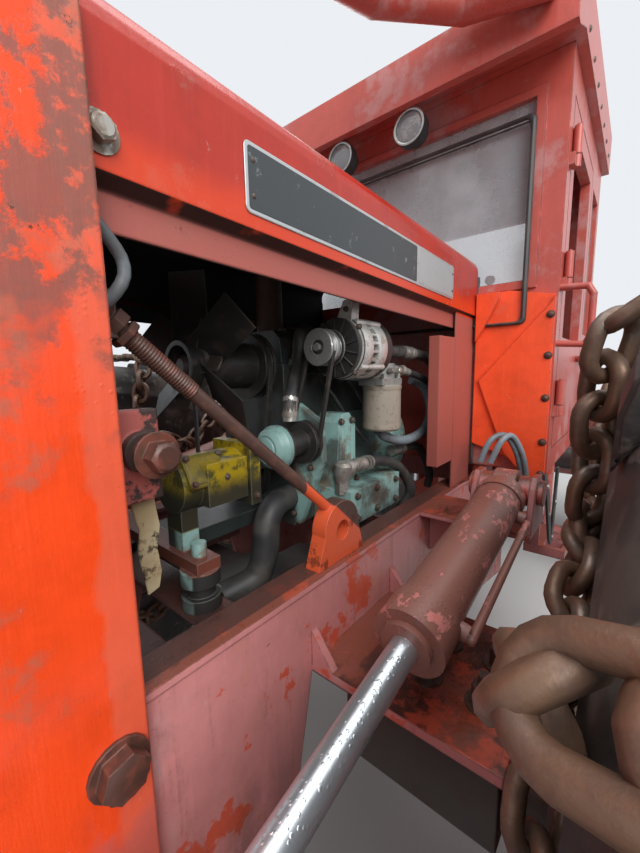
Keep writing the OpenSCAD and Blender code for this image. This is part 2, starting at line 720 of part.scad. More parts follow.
module controls() {
    y0 = cab_front_y + cab_t + fit_gap;
    wheel_r = 200;
    color(dark) {
        block(-450, 450, y0, y0 + 140, 1500, 1800);
        translate([0, y0 + 190, 1880]) rotate([-25, 0, 0]) {
            difference() {
                cylinder(h = 24, r = wheel_r, $fn = 48);
                translate([0, 0, -1]) cylinder(h = 26, r = wheel_r - 24, $fn = 48);
            }
            translate([-12, -wheel_r + 10, 4]) cube([24, 2 * wheel_r - 20, 16]);
            translate([0, 0, -150]) cylinder(h = 160, r = 25, $fn = 24);
        }
        // Levers on the dash
        for (x = [260, 320, 380])
            bar([x, y0 + 110, 1795], [x, y0 + 135, 1900], 8, 16);
    }
}

module steps() {
    y0 = cab_front_y + 160;
    color(dark) both_sides() {
        difference() {
            block(cab_half - 90, cab_half + 60, y0, y0 + 300, 760, 795);
            for (y = [y0 + 30, y0 + 120, y0 + 210])
                block(cab_half - 20, cab_half + 45, y, y + 60, 759, 796);
        }
        for (y = [y0, y0 + 270])
            block(cab_half - 60, cab_half - 35, y, y + 30, 765, cab_floor - fit_gap);
    }
}

exhaust_at = [215, engine_y0 + 250];
exhaust_r = 50;
module exhaust() {
    log_z = head_z - 70;
    collar_z = hood_top + 10;
    color("saddlebrown") {
        round_y(engine_y0 + 60, engine_y0 + 400, -exhaust_at.x, log_z, 42);
        for (y = [110, 225, 340])
            round_x(-exhaust_at.x, block_x0 + 20 - fit_gap, engine_y0 + y, log_z, 24, 24);
        round_z(log_z, collar_z + 5, -exhaust_at.x, exhaust_at.y, exhaust_r);
        round_z(collar_z, hood_top + 275, -exhaust_at.x, exhaust_at.y, exhaust_r + 4);
    }
}

module lamps() {
    lamp_y = cab_front_y - 150;
    lamp_z = cab_wall_top - 122;
    lamp_x = 160;
    lamp_r = 62;
    color("black") both_sides() {
        difference() {
            round_y(lamp_y, lamp_y + 40, lamp_x, lamp_z, lamp_r);
            round_y(lamp_y - 1, lamp_y + 12, lamp_x, lamp_z, lamp_r - 8);
        }
        round_y(lamp_y + 39, lamp_y + 75, lamp_x, lamp_z, lamp_r - 17);
        block(lamp_x - 10, lamp_x + 10, lamp_y + 35, lamp_y + 55, lamp_z + lamp_r - 22,
            cab_wall_top - 43);
    }
}

// Doors
module door() {
    gap = 6;
    x0 = cab_half - cab_t + gap - 4;
    y0 = door_y0 + gap;
    y1 = door_y1 - gap;
    color(paint) {
        difference() {
            block(x0, cab_half, y0, y1, door_low + gap, door_high - gap);
            block(x0 - 1, cab_half + 1, y0 + 74, y1 - 74, 1650, door_high - 80);
            // Hollow inner face of the lower half
            block(x0 - 1, x0 + 24, y0 + 60, y1 - 60, door_low + 60, 1600);
        }
        // Latch handle
        block(cab_half - 2, cab_half + 22, y1 - 62, y1 - 38, 1560, 1590);
        block(cab_half + 14, cab_half + 26, y1 - 150, y1 - 38, 1562, 1588);
        for (z = door_hinge_z) difference() {
            union() {
                round_z(z, z + 90, door_axis.x, door_axis.y, 13, 24);
                block(cab_half - 4, cab_half + 12, y0, door_y0 + 50, z, z + 90);
            }
            round_z(z - 1, z + 91, door_axis.x, door_axis.y, door_pin_r + pin_gap, 24);
        }
    }
}

module door_left() {
    door();
}

module door_right() {
    mirror([1, 0, 0]) door();
}

// Blade with its lift arms
eye = [front_y + 460, 930];
ear_gap = 34;
arm_half = 40;
module blade() {
    z0 = blade_gap;
    z1 = blade_gap + blade_h;
    back_y = front_y + 200;
    ear_t = 18;
    color(paint) {
        slab_x(-blade_w / 2, blade_w / 2, [
            [front_y, z0], [front_y + 60, z0 + 130], [front_y + 150, z0 + 300],
            [front_y + 180, z0 + 480], [front_y + 150, z1 - 90], [front_y + 105, z1],
            [front_y + 135, z1], [front_y + 185, z1 - 90], [back_y + 15, z0 + 480],
            [front_y + 185, z0 + 280], [front_y + 90, z0 + 100], [front_y + 25, z0]]);
        // End plates and the ribs between the arms
        both_sides() for (x = [blade_w / 2 - 25, blade_w / 2 - 310, 300])
            slab_x(x, x + 25, [
                [front_y + 30, z0 + 20], [front_y + 120, z0 + 60], [back_y + 20, z0 + 250],
                [back_y + 70, z0 + 480], [back_y + 20, z1 - 60], [front_y + 150, z1 - 60],
                [front_y + 190, z0 + 480], [front_y + 160, z0 + 290]]);
        both_sides() {
            // Lift arm with its pin boss
            difference() {
                union() {
                    slab_x(lift_x - arm_half, lift_x + arm_half, [
                        [arm_pin.x + 20, arm_pin.y - 75], [arm_pin.x + 20, arm_pin.y + 75],
                        [eye.x + 120, arm_pin.y + 120], [back_y, arm_pin.y + 60],
                        [back_y, arm_pin.y - 180], [eye.x, arm_pin.y - 150]]);
                    round_x(lift_x - 60, lift_x + 10, arm_pin.x, arm_pin.y, 95);
                }
                round_x(lift_x - 70, lift_x + 60, arm_pin.x, arm_pin.y, arm_pin_r + pin_gap);
            }
            // Ears for the cylinder's eye, with their pin heads
            for (x = [lift_x - ear_gap - ear_t, lift_x + ear_gap])
                slab_x(x, x + ear_t, [
                    [eye.x + 160, arm_pin.y + 60], [eye.x + 48, eye.y + 20],
                    [eye.x + 25, eye.y + 46], [eye.x - 25, eye.y + 46],
                    [eye.x - 48, eye.y + 20], [eye.x - 130, arm_pin.y + 60]]);
            mirror_at(lift_x) round_x(ear_gap + ear_t - 2, ear_gap + ear_t + 16, eye.x, eye.y, 34);
        }
    }
}

// Tube between the blade's arms
module blade_cross_tube() {
    reach = lift_x - arm_half - fit_gap;
    color(paint) block(-reach, reach, eye.x - 160, eye.x - 90, arm_pin.y - 120, arm_pin.y);
}

// Lift cylinders
lift_vec = [eye.x - lift_base.x, eye.y - lift_base.y];
lift_len = norm(lift_vec);
lift_tilt = atan2(lift_vec.y, -lift_vec.x);
gland_at = 640;
lift_bore_at = 68;
lift_rod_from = 475;

module lift_frame() {
    translate([lift_x, lift_base.x, lift_base.y]) rotate([90 - lift_tilt, 0, 0]) children();
}

module lift_barrel() {
    r = lift_barrel_d / 2;
    color("brown") lift_frame() difference() {
        union() {
            translate([0, 0, 45]) cylinder(h = gland_at - 105, r = r, $fn = 48);
            translate([0, 0, gland_at - 72]) cylinder(h = 72, r = r + 7, $fn = 48);
            translate([0, 0, gland_at - 2]) cylinder(h = 14, r = r - 14, $fn = 48);
            translate([0, 0, 60]) cylinder(h = 40, r = r + 4, $fn = 48);
            rotate([0, 90, 0]) translate([0, 0, -30]) cylinder(h = 60, r = 55, $fn = 48);
            // Oil pipe along the outer side, with its two unions
            bent_tube([
                [r - 20, -18, 120], [r + 18, -34, 120], [r + 18, -34, gland_at - 90],
                [r - 20, -18, gland_at - 90]], 9, 18);
            bar([0, 0, 120], [r + 12, -24, 120], 17, 18);
            bar([0, 0, gland_at - 90], [r + 12, -24, gland_at - 90], 17, 18);
        }
        rotate([0, 90, 0]) translate([0, 0, -40]) cylinder(h = 80, r = lift_pin_r + pin_gap, $fn = 48);
        translate([0, 0, lift_bore_at]) cylinder(h = gland_at, r = lift_rod_d / 2 + pin_gap, $fn = 48);
    }
}

module lift_rod() {
    half = ear_gap - run_gap;
    color(steel) lift_frame() {
        translate([0, 0, lift_rod_from])
            cylinder(h = lift_len - lift_rod_from, r = lift_rod_d / 2, $fn = 48);
        translate([0, 0, lift_len]) rotate([0, 90, 0]) translate([0, 0, -half])
            cylinder(h = 2 * half, r = 48, $fn = 48);
    }
}

module lift_barrel_left() {
    lift_barrel();
}

module lift_barrel_right() {
    mirror([1, 0, 0]) lift_barrel();
}

module lift_rod_left() {
    lift_rod();
}

module lift_rod_right() {
    mirror([1, 0, 0]) lift_rod();
}

// Steering cylinders, inside the front frame
steer_eye = [230, pivot_y + 130];
steer_vec = steer_eye - steer_base;
steer_len = norm(steer_vec);
steer_turn = atan2(steer_vec.x, steer_vec.y);
steer_gland = 500;
steer_bore_at = 55;
steer_rod_from = 235;

module steer_frame() {
    translate([steer_base.x, steer_base.y, steer_z]) rotate([-90, 0, -steer_turn]) children();
}

module steer_barrel() {
    color(paint) steer_frame() difference() {
        union() {
            // Neck clear of the bracket plates, barrel and gland
            translate([0, 0, 30]) cylinder(h = 50, r = 27, $fn = 48);
            translate([0, 0, 75]) cylinder(h = steer_gland - 115, r = 45, $fn = 48);
            translate([0, 0, steer_gland - 45]) cylinder(h = 45, r = 49, $fn = 48);
            rotate([90, 0, 0]) translate([0, 0, -30]) cylinder(h = 60, r = 42, $fn = 48);
        }
        rotate([90, 0, 0]) translate([0, 0, -40]) cylinder(h = 80, r = steer_pin_r + pin_gap, $fn = 48);
        translate([0, 0, steer_bore_at]) cylinder(h = steer_gland, r = 20 + pin_gap, $fn = 48);
    }
}

module steer_rod() {
    color(steel) steer_frame() {
        translate([0, 0, steer_rod_from]) cylinder(h = steer_len - steer_rod_from, r = 20, $fn = 48);
        translate([0, 0, steer_len]) rotate([90, 0, 0]) translate([0, 0, -25])
            cylinder(h = 50, r = 40, $fn = 48);
    }
}

module steer_barrel_left() {
    steer_barrel();
}

module steer_barrel_right() {
    mirror([1, 0, 0]) steer_barrel();
}

module steer_rod_left() {
    steer_rod();
}

module steer_rod_right() {
    mirror([1, 0, 0]) steer_rod();
}

// Rear frame
rear_front_y = pivot_y + 300;
rear_top = 1090;
rear_notch_z = 892;
tow_y = rear_y - 130;
tow_z = 790;
tow_t = 40;
tow_r = 25.5;
module rear_frame() {
    color(paint) {
        both_sides() slab_x(rear_half - rail_t, rear_half, [
            [rear_front_y, 580], [rear_axle_y - 260, 580], [rear_axle_y - 170, rear_notch_z],
            [rear_axle_y + 170, rear_notch_z], [rear_axle_y + 260, 640], [rear_y - 260, 640],
            [rear_y - 200, 760], [rear_y - 200, rear_top], [rear_front_y, rear_top]]);
        block(-rear_half, rear_half, rear_front_y, rear_y - 200, rear_top - 16, rear_top);
        difference() {
            block(-rear_half, rear_half, rear_front_y, rear_front_y + 20, 580, rear_top);
            block(-120, 120, rear_front_y - 1, rear_front_y + 21, 700, 960);
        }
        block(-rear_half, rear_half, rear_y - 215, rear_y - 200, 760, rear_top);
        // Drawbar lug with its pin bore
        difference() {
            block(-60, 60, rear_y - 240, tow_y + 60, tow_z - tow_t / 2, tow_z + tow_t / 2);
            round_z(tow_z - tow_t, tow_z + tow_t, 0, tow_y, tow_r);
        }
        // Hinge lugs with their pins
        for (z = [hinge_low_z + hinge_t + run_gap, hinge_top_z - hinge_t - run_gap]) {
            slab_z(z, z + hinge_t, [
                [-hinge_end_r, pivot_y + 10], [hinge_end_r, pivot_y + 10],
                [260, rear_front_y + 10], [-260, rear_front_y + 10]]);
            round_z(z, z + hinge_t, 0, pivot_y, hinge_end_r);
        }
        round_z(hinge_low_z - 10, hinge_low_z + hinge_t + run_gap + 5, 0, pivot_y, hinge_pin_r);
        round_z(hinge_top_z - run_gap - 5, hinge_top_z + hinge_t + 10, 0, pivot_y, hinge_pin_r);
        both_sides() for (z = [steer_z - 25 - run_gap - 15, steer_z + 25 + run_gap]) {
            block(steer_eye.x - 40, steer_eye.x + 40, steer_eye.y, rear_front_y + 5, z, z + 15);
            round_z(z, z + 15, steer_eye.x, steer_eye.y, 40);
        }
    }
}

// Arch with its legs, and the fairlead at its rear
module arch() {
    color(paint) {
        both_sides() slab_x(rear_half - 60, rear_half + fit_gap + 20, [
            [rear_axle_y + 60, rear_top + fit_gap], [rear_axle_y + 300, rear_top + fit_gap],
            [rear_y - 330, arch_top - 60], [rear_y - 330, arch_top], [rear_y - 480, arch_top]]);
        block(-rear_half, rear_half, rear_y - 480, rear_y - 330, arch_top - 90, arch_top);
        both_sides() slab_x(rear_half - 60, rear_half + 20, [
            [rear_y - 290, rear_top + fit_gap], [rear_y - 215, rear_top + fit_gap],
            [rear_y - 335, arch_top - 90], [rear_y - 400, arch_top - 90]]);
    }
    // Rear protection plate
    color(paint) difference() {
        slab_x(-850, 850, [
            [rear_y - 200 + fit_gap, 700], [rear_y - 100, 480], [rear_y, 400], [rear_y, 430],
            [rear_y - 85, 505], [rear_y - 180, 715], [rear_y - 180, rear_top],
            [rear_y - 200 + fit_gap, rear_top]]);
        block(-60 - fit_gap, 60 + fit_gap, rear_y - 201, tow_y, tow_z - tow_t / 2 - fit_gap,
            tow_z + tow_t / 2 + fit_gap);
    }
}

module fairlead() {
    color(dark) {
        for (x = [-170, 170]) round_z(arch_top - 420, arch_top - 90 - fit_gap, x, rear_y - 400, 40);
        for (z = [arch_top - 440, arch_top - 140]) round_x(-230, 230, rear_y - 400, z, 35);
        block(-240, 240, rear_y - 440, rear_y - 360, arch_top - 480, arch_top - 440);
    }
}

// Winch
winch_y = 1240;
winch_z = 1340;
module winch() {
    color(paint) {
        difference() {
            union() {
                both_sides() slab_x(250, 300, [
                    [winch_y - 190, rear_top + fit_gap], [winch_y + 260, rear_top + fit_gap],
                    [winch_y + 200, 1560], [winch_y - 120, 1600]]);
                block(-300, 300, winch_y - 190, winch_y + 260, rear_top + fit_gap, rear_top + 20);
                round_x(300, 380, winch_y, winch_z, 180);
            }
            round_x(-400, 290, winch_y, winch_z, 50 + pin_gap);
        }
    }
}

module winch_drum() {
    color(dark) {
        round_x(-240, 240, winch_y, winch_z, drum_r);
        both_sides() round_x(215, 240, winch_y, winch_z, drum_flange_r);
        round_x(-285, 285, winch_y, winch_z, 50);
    }
}

// Wheels, drawn about the X axis at the tyre's middle
tread_r = tyre_r - lug_h;
half_w = tyre_w / 2;
seat_r = rim_d / 2;
bead_r = seat_r + 14.2 + fit_gap;
lug_reach = 130;
lug_top = sqrt(tyre_r * tyre_r - lug_reach * lug_reach);
lug_phase = asin(lug_reach / tyre_r);

module spin_x(sides) {
    rotate([0, 90, 0]) rotate_extrude($fn = sides) children();
}

module tyre() {
    flats = 2 * lug_n;
    profile = [
        [-half_w + 50, bead_r], [-half_w, tread_r - 190], [-half_w + 18, tread_r - 40],
        [-half_w + 60, tread_r], [half_w - 60, tread_r], [half_w - 18, tread_r - 40],
        [half_w, tread_r - 190], [half_w - 50, bead_r]];
    rows = len(profile);
    stretch = 1 / cos(180 / flats);
    color([0.12, 0.12, 0.12]) {
        // Carcass: the profile set round the axle in flats
        polyhedron(
            [for (i = [0 : flats - 1], p = profile) [p[0],
                -p[1] * stretch * sin((i + 0.5) * 360 / flats),
                p[1] * stretch * cos((i + 0.5) * 360 / flats)]],
            [for (i = [0 : flats - 1], k = [0 : rows - 1]) [
                i * rows + k, i * rows + (k + 1) % rows,
                ((i + 1) % flats) * rows + (k + 1) % rows, ((i + 1) % flats) * rows + k]]);
        for (side = [0, 1], i = [0 : lug_n - 1])
            mirror([side, 0, 0]) rotate([(i + side / 2) * 360 / lug_n - lug_phase, 0, 0])
                translate([0, 0, tread_r - 20]) linear_extrude(lug_top - tread_r + 20) polygon([
                    [-15, -30], [half_w - 8, -lug_reach], [half_w - 8, -lug_reach + 68], [-15, 32]]);
    }
}

module rim() {
    color(paint) spin_x(48) polygon([
        [spigot_r + pin_gap, -half_w + 25], [seat_r - 14, -half_w + 25],
        [seat_r - 14, -half_w + 30], [seat_r + 20, -half_w + 24], [seat_r + 22, -half_w + 44],
        [seat_r + 14.7, -half_w + 49], [seat_r, -half_w + 75], [seat_r, half_w - 75],
        [seat_r + 14.7, half_w - 49], [seat_r + 22, half_w - 44], [seat_r + 20, half_w - 24],
        [seat_r - 14, half_w - 30], [seat_r - 14, -half_w + 55], [210, -half_w + 55],
        [170, -half_w + 120], [90, -half_w + 210], [0, -half_w + 210], [0, -half_w + 72],
        [spigot_r + pin_gap, -half_w + 72]]);
}

module tyre_chain() {
    ring_r = 605;
    ring_n = 2 * chain_n;
    wide = 2.6 * chain_wire;
    link = 2 * PI * ring_r / ring_n + 2;
    side_x = half_w + chain_wire / 2 + fit_gap;
    cross_n = 5;
    color("saddlebrown") {
        for (i = [0 : chain_n - 1]) rotate([i * 360 / chain_n, 0, 0]) {
            // Cross chain over the tread: links flat and on edge by turns
            for (k = [0 : cross_n - 1]) {
                w = k % 2 == 0 ? wide : chain_wire;
                translate([(k - (cross_n - 1) / 2) * (2 * side_x / cross_n), 0,
                    tyre_r + chain_wire / 2])
                    cube([2 * side_x / cross_n + 2, w, chain_wire], center = true);
            }
            for (s = [-1, 1])
                translate([s * side_x, 0, (tyre_r + chain_wire + ring_r) / 2])
                    cube([chain_wire, wide, tyre_r + chain_wire - ring_r], center = true);
        }
        for (s = [-1, 1], i = [0 : ring_n - 1])
            rotate([i * 360 / ring_n, 0, 0]) translate([s * side_x, 0, ring_r])
                cube([chain_wire, link, i % 2 == 0 ? wide : chain_wire], center = true);
    }
}

module at_wheel(side, y, z) {
    mirror([side, 0, 0]) translate([wheel_x, y, z]) children();
}

module tyre_front_left() {
    at_wheel(0, front_axle_y, front_axle_z) tyre();
}

module tyre_front_right() {
    at_wheel(1, front_axle_y, front_axle_z) tyre();
}

module tyre_rear_left() {
    at_wheel(0, rear_axle_y, rear_axle_z) tyre();
}

module tyre_rear_right() {
    at_wheel(1, rear_axle_y, rear_axle_z) tyre();
}

module rim_front_left() {
    at_wheel(0, front_axle_y, front_axle_z) rim();
}

module rim_front_right() {
    at_wheel(1, front_axle_y, front_axle_z) rim();
}

module rim_rear_left() {
    at_wheel(0, rear_axle_y, rear_axle_z) rim();
}

module rim_rear_right() {
    at_wheel(1, rear_axle_y, rear_axle_z) rim();
}

module tyre_chain_left() {
    at_wheel(0, front_axle_y, front_axle_z) tyre_chain();
}

module tyre_chain_right() {
    at_wheel(1, front_axle_y, front_axle_z) tyre_chain();
}

front_frame();
front_axle();
radiator_guard();
radiator();
hood();
engine();
engine_drive();
brace_rod();
cowl();
cab();
cab_roof();
limb_riser();
cab_glass();
seat();
controls();
steps();
exhaust();
lamps();
door_left();
door_right();
blade();
blade_cross_tube();
lift_barrel_left();
lift_barrel_right();
lift_rod_left();
lift_rod_right();
steer_barrel_left();
steer_barrel_right();
steer_rod_left();
steer_rod_right();
rear_frame();
rear_axle();
arch();
fairlead();
winch();
winch_drum();
tyre_front_left();
tyre_front_right();
tyre_rear_left();
tyre_rear_right();
rim_front_left();
rim_front_right();
rim_rear_left();
rim_rear_right();
tyre_chain_left();
tyre_chain_right();
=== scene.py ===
"""Looks of an articulated cable skidder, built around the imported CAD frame.

Metres. The machine faces -Y, +X is its left side and the floor is Z = 0."""

import json
import math
import sys

import bmesh
import bpy
from bpy.props import FloatProperty, FloatVectorProperty, IntProperty, PointerProperty
from bpy.types import Operator, Panel, PropertyGroup
from mathutils import Matrix, Quaternion, Vector
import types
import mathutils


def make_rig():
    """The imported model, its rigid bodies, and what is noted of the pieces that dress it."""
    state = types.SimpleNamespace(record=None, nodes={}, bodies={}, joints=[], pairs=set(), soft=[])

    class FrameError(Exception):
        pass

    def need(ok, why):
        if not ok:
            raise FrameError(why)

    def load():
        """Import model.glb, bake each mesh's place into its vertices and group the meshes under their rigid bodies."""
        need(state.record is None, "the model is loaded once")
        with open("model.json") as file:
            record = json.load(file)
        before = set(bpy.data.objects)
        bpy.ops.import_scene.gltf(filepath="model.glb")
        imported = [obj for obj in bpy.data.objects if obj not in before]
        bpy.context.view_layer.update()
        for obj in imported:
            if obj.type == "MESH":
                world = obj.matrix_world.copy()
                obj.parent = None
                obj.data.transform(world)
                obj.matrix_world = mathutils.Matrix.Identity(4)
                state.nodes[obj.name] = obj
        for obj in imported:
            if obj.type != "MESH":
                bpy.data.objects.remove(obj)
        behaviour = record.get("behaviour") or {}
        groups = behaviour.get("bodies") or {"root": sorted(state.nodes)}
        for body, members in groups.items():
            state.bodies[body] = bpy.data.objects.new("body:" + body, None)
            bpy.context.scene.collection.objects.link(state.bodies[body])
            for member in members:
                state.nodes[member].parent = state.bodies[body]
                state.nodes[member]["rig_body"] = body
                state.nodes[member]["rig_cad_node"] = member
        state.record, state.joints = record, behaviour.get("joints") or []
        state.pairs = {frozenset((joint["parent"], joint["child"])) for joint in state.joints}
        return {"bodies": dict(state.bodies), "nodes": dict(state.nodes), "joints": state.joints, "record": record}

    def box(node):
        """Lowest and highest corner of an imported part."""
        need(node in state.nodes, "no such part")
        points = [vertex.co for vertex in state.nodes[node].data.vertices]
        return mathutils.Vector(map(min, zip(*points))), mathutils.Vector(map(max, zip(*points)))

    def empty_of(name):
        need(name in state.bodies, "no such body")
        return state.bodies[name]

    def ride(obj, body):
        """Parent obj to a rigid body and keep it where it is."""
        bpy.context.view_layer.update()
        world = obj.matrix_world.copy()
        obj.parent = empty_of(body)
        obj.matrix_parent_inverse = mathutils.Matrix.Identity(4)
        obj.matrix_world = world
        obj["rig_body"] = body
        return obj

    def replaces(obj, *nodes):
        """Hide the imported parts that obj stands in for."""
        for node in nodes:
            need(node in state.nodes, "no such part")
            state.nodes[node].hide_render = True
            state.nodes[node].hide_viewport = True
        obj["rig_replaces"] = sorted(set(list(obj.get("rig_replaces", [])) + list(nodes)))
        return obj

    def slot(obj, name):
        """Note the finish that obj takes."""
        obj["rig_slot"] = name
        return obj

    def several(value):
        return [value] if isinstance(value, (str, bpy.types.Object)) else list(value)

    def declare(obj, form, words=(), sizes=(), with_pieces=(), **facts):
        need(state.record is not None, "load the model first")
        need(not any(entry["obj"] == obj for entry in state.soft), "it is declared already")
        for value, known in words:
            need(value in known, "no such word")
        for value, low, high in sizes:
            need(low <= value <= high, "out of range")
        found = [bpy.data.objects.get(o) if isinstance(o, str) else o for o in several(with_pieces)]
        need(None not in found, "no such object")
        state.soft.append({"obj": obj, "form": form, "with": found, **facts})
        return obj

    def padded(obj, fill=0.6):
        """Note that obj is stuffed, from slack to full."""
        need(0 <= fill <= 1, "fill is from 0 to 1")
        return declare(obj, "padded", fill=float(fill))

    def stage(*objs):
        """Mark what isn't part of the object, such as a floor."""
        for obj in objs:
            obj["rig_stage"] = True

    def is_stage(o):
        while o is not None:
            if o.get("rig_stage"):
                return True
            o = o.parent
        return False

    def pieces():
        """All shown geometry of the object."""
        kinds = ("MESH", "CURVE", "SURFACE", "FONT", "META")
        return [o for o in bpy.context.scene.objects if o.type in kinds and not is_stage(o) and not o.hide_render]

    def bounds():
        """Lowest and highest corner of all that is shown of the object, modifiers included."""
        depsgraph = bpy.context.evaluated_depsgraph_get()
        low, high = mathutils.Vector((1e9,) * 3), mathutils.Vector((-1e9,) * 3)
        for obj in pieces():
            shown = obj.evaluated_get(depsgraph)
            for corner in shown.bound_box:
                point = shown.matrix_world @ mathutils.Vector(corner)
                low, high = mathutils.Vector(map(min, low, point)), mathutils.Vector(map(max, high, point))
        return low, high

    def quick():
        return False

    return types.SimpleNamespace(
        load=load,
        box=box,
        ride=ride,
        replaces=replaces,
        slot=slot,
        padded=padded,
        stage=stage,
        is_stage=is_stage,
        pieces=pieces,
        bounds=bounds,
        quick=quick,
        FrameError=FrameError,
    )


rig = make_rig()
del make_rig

bl_info = {
    "name": "Skidder looks",
    "version": (1, 0, 0),
    "blender": (4, 5, 0),
    "location": "3D View > Sidebar > Skidder",
    "description": "Finishes and fine pieces of an articulated cable skidder",
    "category": "Object",
}

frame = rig.load()
CAD_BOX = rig.bounds()
NODES = frame["nodes"]
JOINTS = {joint["name"]: joint for joint in frame["joints"]}

MM = 0.001
LEFT, RIGHT = 1, -1
SIDES = ((LEFT, "left"), (RIGHT, "right"))
UP, ACROSS = (0, 0, 1), (1, 0, 0)
SHARP = 35.0  # degrees from which an edge shows sharp
BEVEL_FROM = math.radians(40)


def tone(red, green, blue):
    """A colour given as it looks on a screen, 0 to 255, as linear light."""
    parts = (part / 255 for part in (red, green, blue))
    return tuple(p / 12.92 if p <= 0.04045 else ((p + 0.055) / 1.055) ** 2.4 for p in parts)


def colour_property(name, description, screen):
    return FloatVectorProperty(
        name=name, description=description, subtype="COLOR", size=3, min=0, max=1, default=tone(*screen)
    )


def length_property(name, description, metres):
    return FloatProperty(
        name=name, description=description, subtype="DISTANCE", unit="LENGTH", min=0.0005, default=metres
    )


class SkidderColours(PropertyGroup):
    """Colours of the finishes."""

    orange: colour_property("Orange paint", "Brushed-on coat of the guard, cowl and post", (238, 74, 28))
    red: colour_property("Red paint", "Older coat of the hood and cab", (196, 52, 34))
    faded: colour_property("Faded paint", "Chalky red-pink that the sun has left", (176, 92, 86))
    # The grime colour also paints shade under the hood's ledge.
    rust: colour_property("Rust", "Bare rusty steel", (74, 38, 24))
    grime: colour_property("Grime", "Oily dirt", (30, 23, 19))
    teal: colour_property("Engine paint", "Light green-blue of the engine's castings", (140, 176, 170))
    yellow: colour_property("Pump paint", "Yellow of the hydraulic pump", (196, 168, 30))
    rubber: colour_property("Rubber", "Tyres and hoses", (40, 39, 38))
    chain: colour_property("Chain", "Oxidised chain steel", (112, 86, 68))
    floor: colour_property("Floor", "The studio floor", (198, 198, 196))


class SkidderSizes(PropertyGroup):
    """Sizes of the pieces made here."""

    link_length: length_property("Link length", "Outside length of a chain link", 0.104)
    link_width: length_property("Link width", "Outside width of a chain link", 0.078)
    link_wire: length_property("Link wire", "Wire diameter of a chain link", 0.0225)
    head_width: length_property("Bolt head", "Corner to corner width of a common bolt head", 0.030)
    hose: length_property("Hose", "Radius of a common hose", 0.0145)
    lugs: IntProperty(name="Lugs", description="Lugs on each side of a tyre", min=8, max=18, default=12)
    lens: FloatProperty(
        name="Lens", description="Focal length of the camera, on 36 mm", subtype="DISTANCE_CAMERA", default=16.04
    )


# Nodes of materials and geometry trees


class Socket:
    """An output of a node. Sums, differences, products and quotients add Math nodes."""

    def __init__(self, maker, output):
        self.maker, self.output = maker, output

    def __add__(self, other):
        return self.maker.math("ADD", self, other)

    def __radd__(self, other):
        return self.maker.math("ADD", other, self)

    def __sub__(self, other):
        return self.maker.math("SUBTRACT", self, other)

    def __rsub__(self, other):
        return self.maker.math("SUBTRACT", other, self)

    def __mul__(self, other):
        return self.maker.math("MULTIPLY", self, other)

    def __rmul__(self, other):
        return self.maker.math("MULTIPLY", other, self)

    def __truediv__(self, other):
        return self.maker.math("DIVIDE", self, other)

    def __rtruediv__(self, other):
        return self.maker.math("DIVIDE", other, self)

    def __abs__(self):
        return self.maker.math("ABSOLUTE", self)


class Maker:
    """Adds nodes to a tree."""

    def node(self, kind, inputs=None, out=0, **settings):
        """A node of that kind: its settings first, then its sockets' values or links."""
        made = self.tree.nodes.new(kind)
        for name, value in settings.items():
            setattr(made, name, value)
        for key, value in (inputs or {}).items():
            if isinstance(value, Socket):
                self.tree.links.new(value.output, made.inputs[key])
            else:
                made.inputs[key].default_value = value
        return Socket(self, made.outputs[out]) if made.outputs else None

    def math(self, operation, *values):
        return self.node("ShaderNodeMath", dict(enumerate(values)), operation=operation)


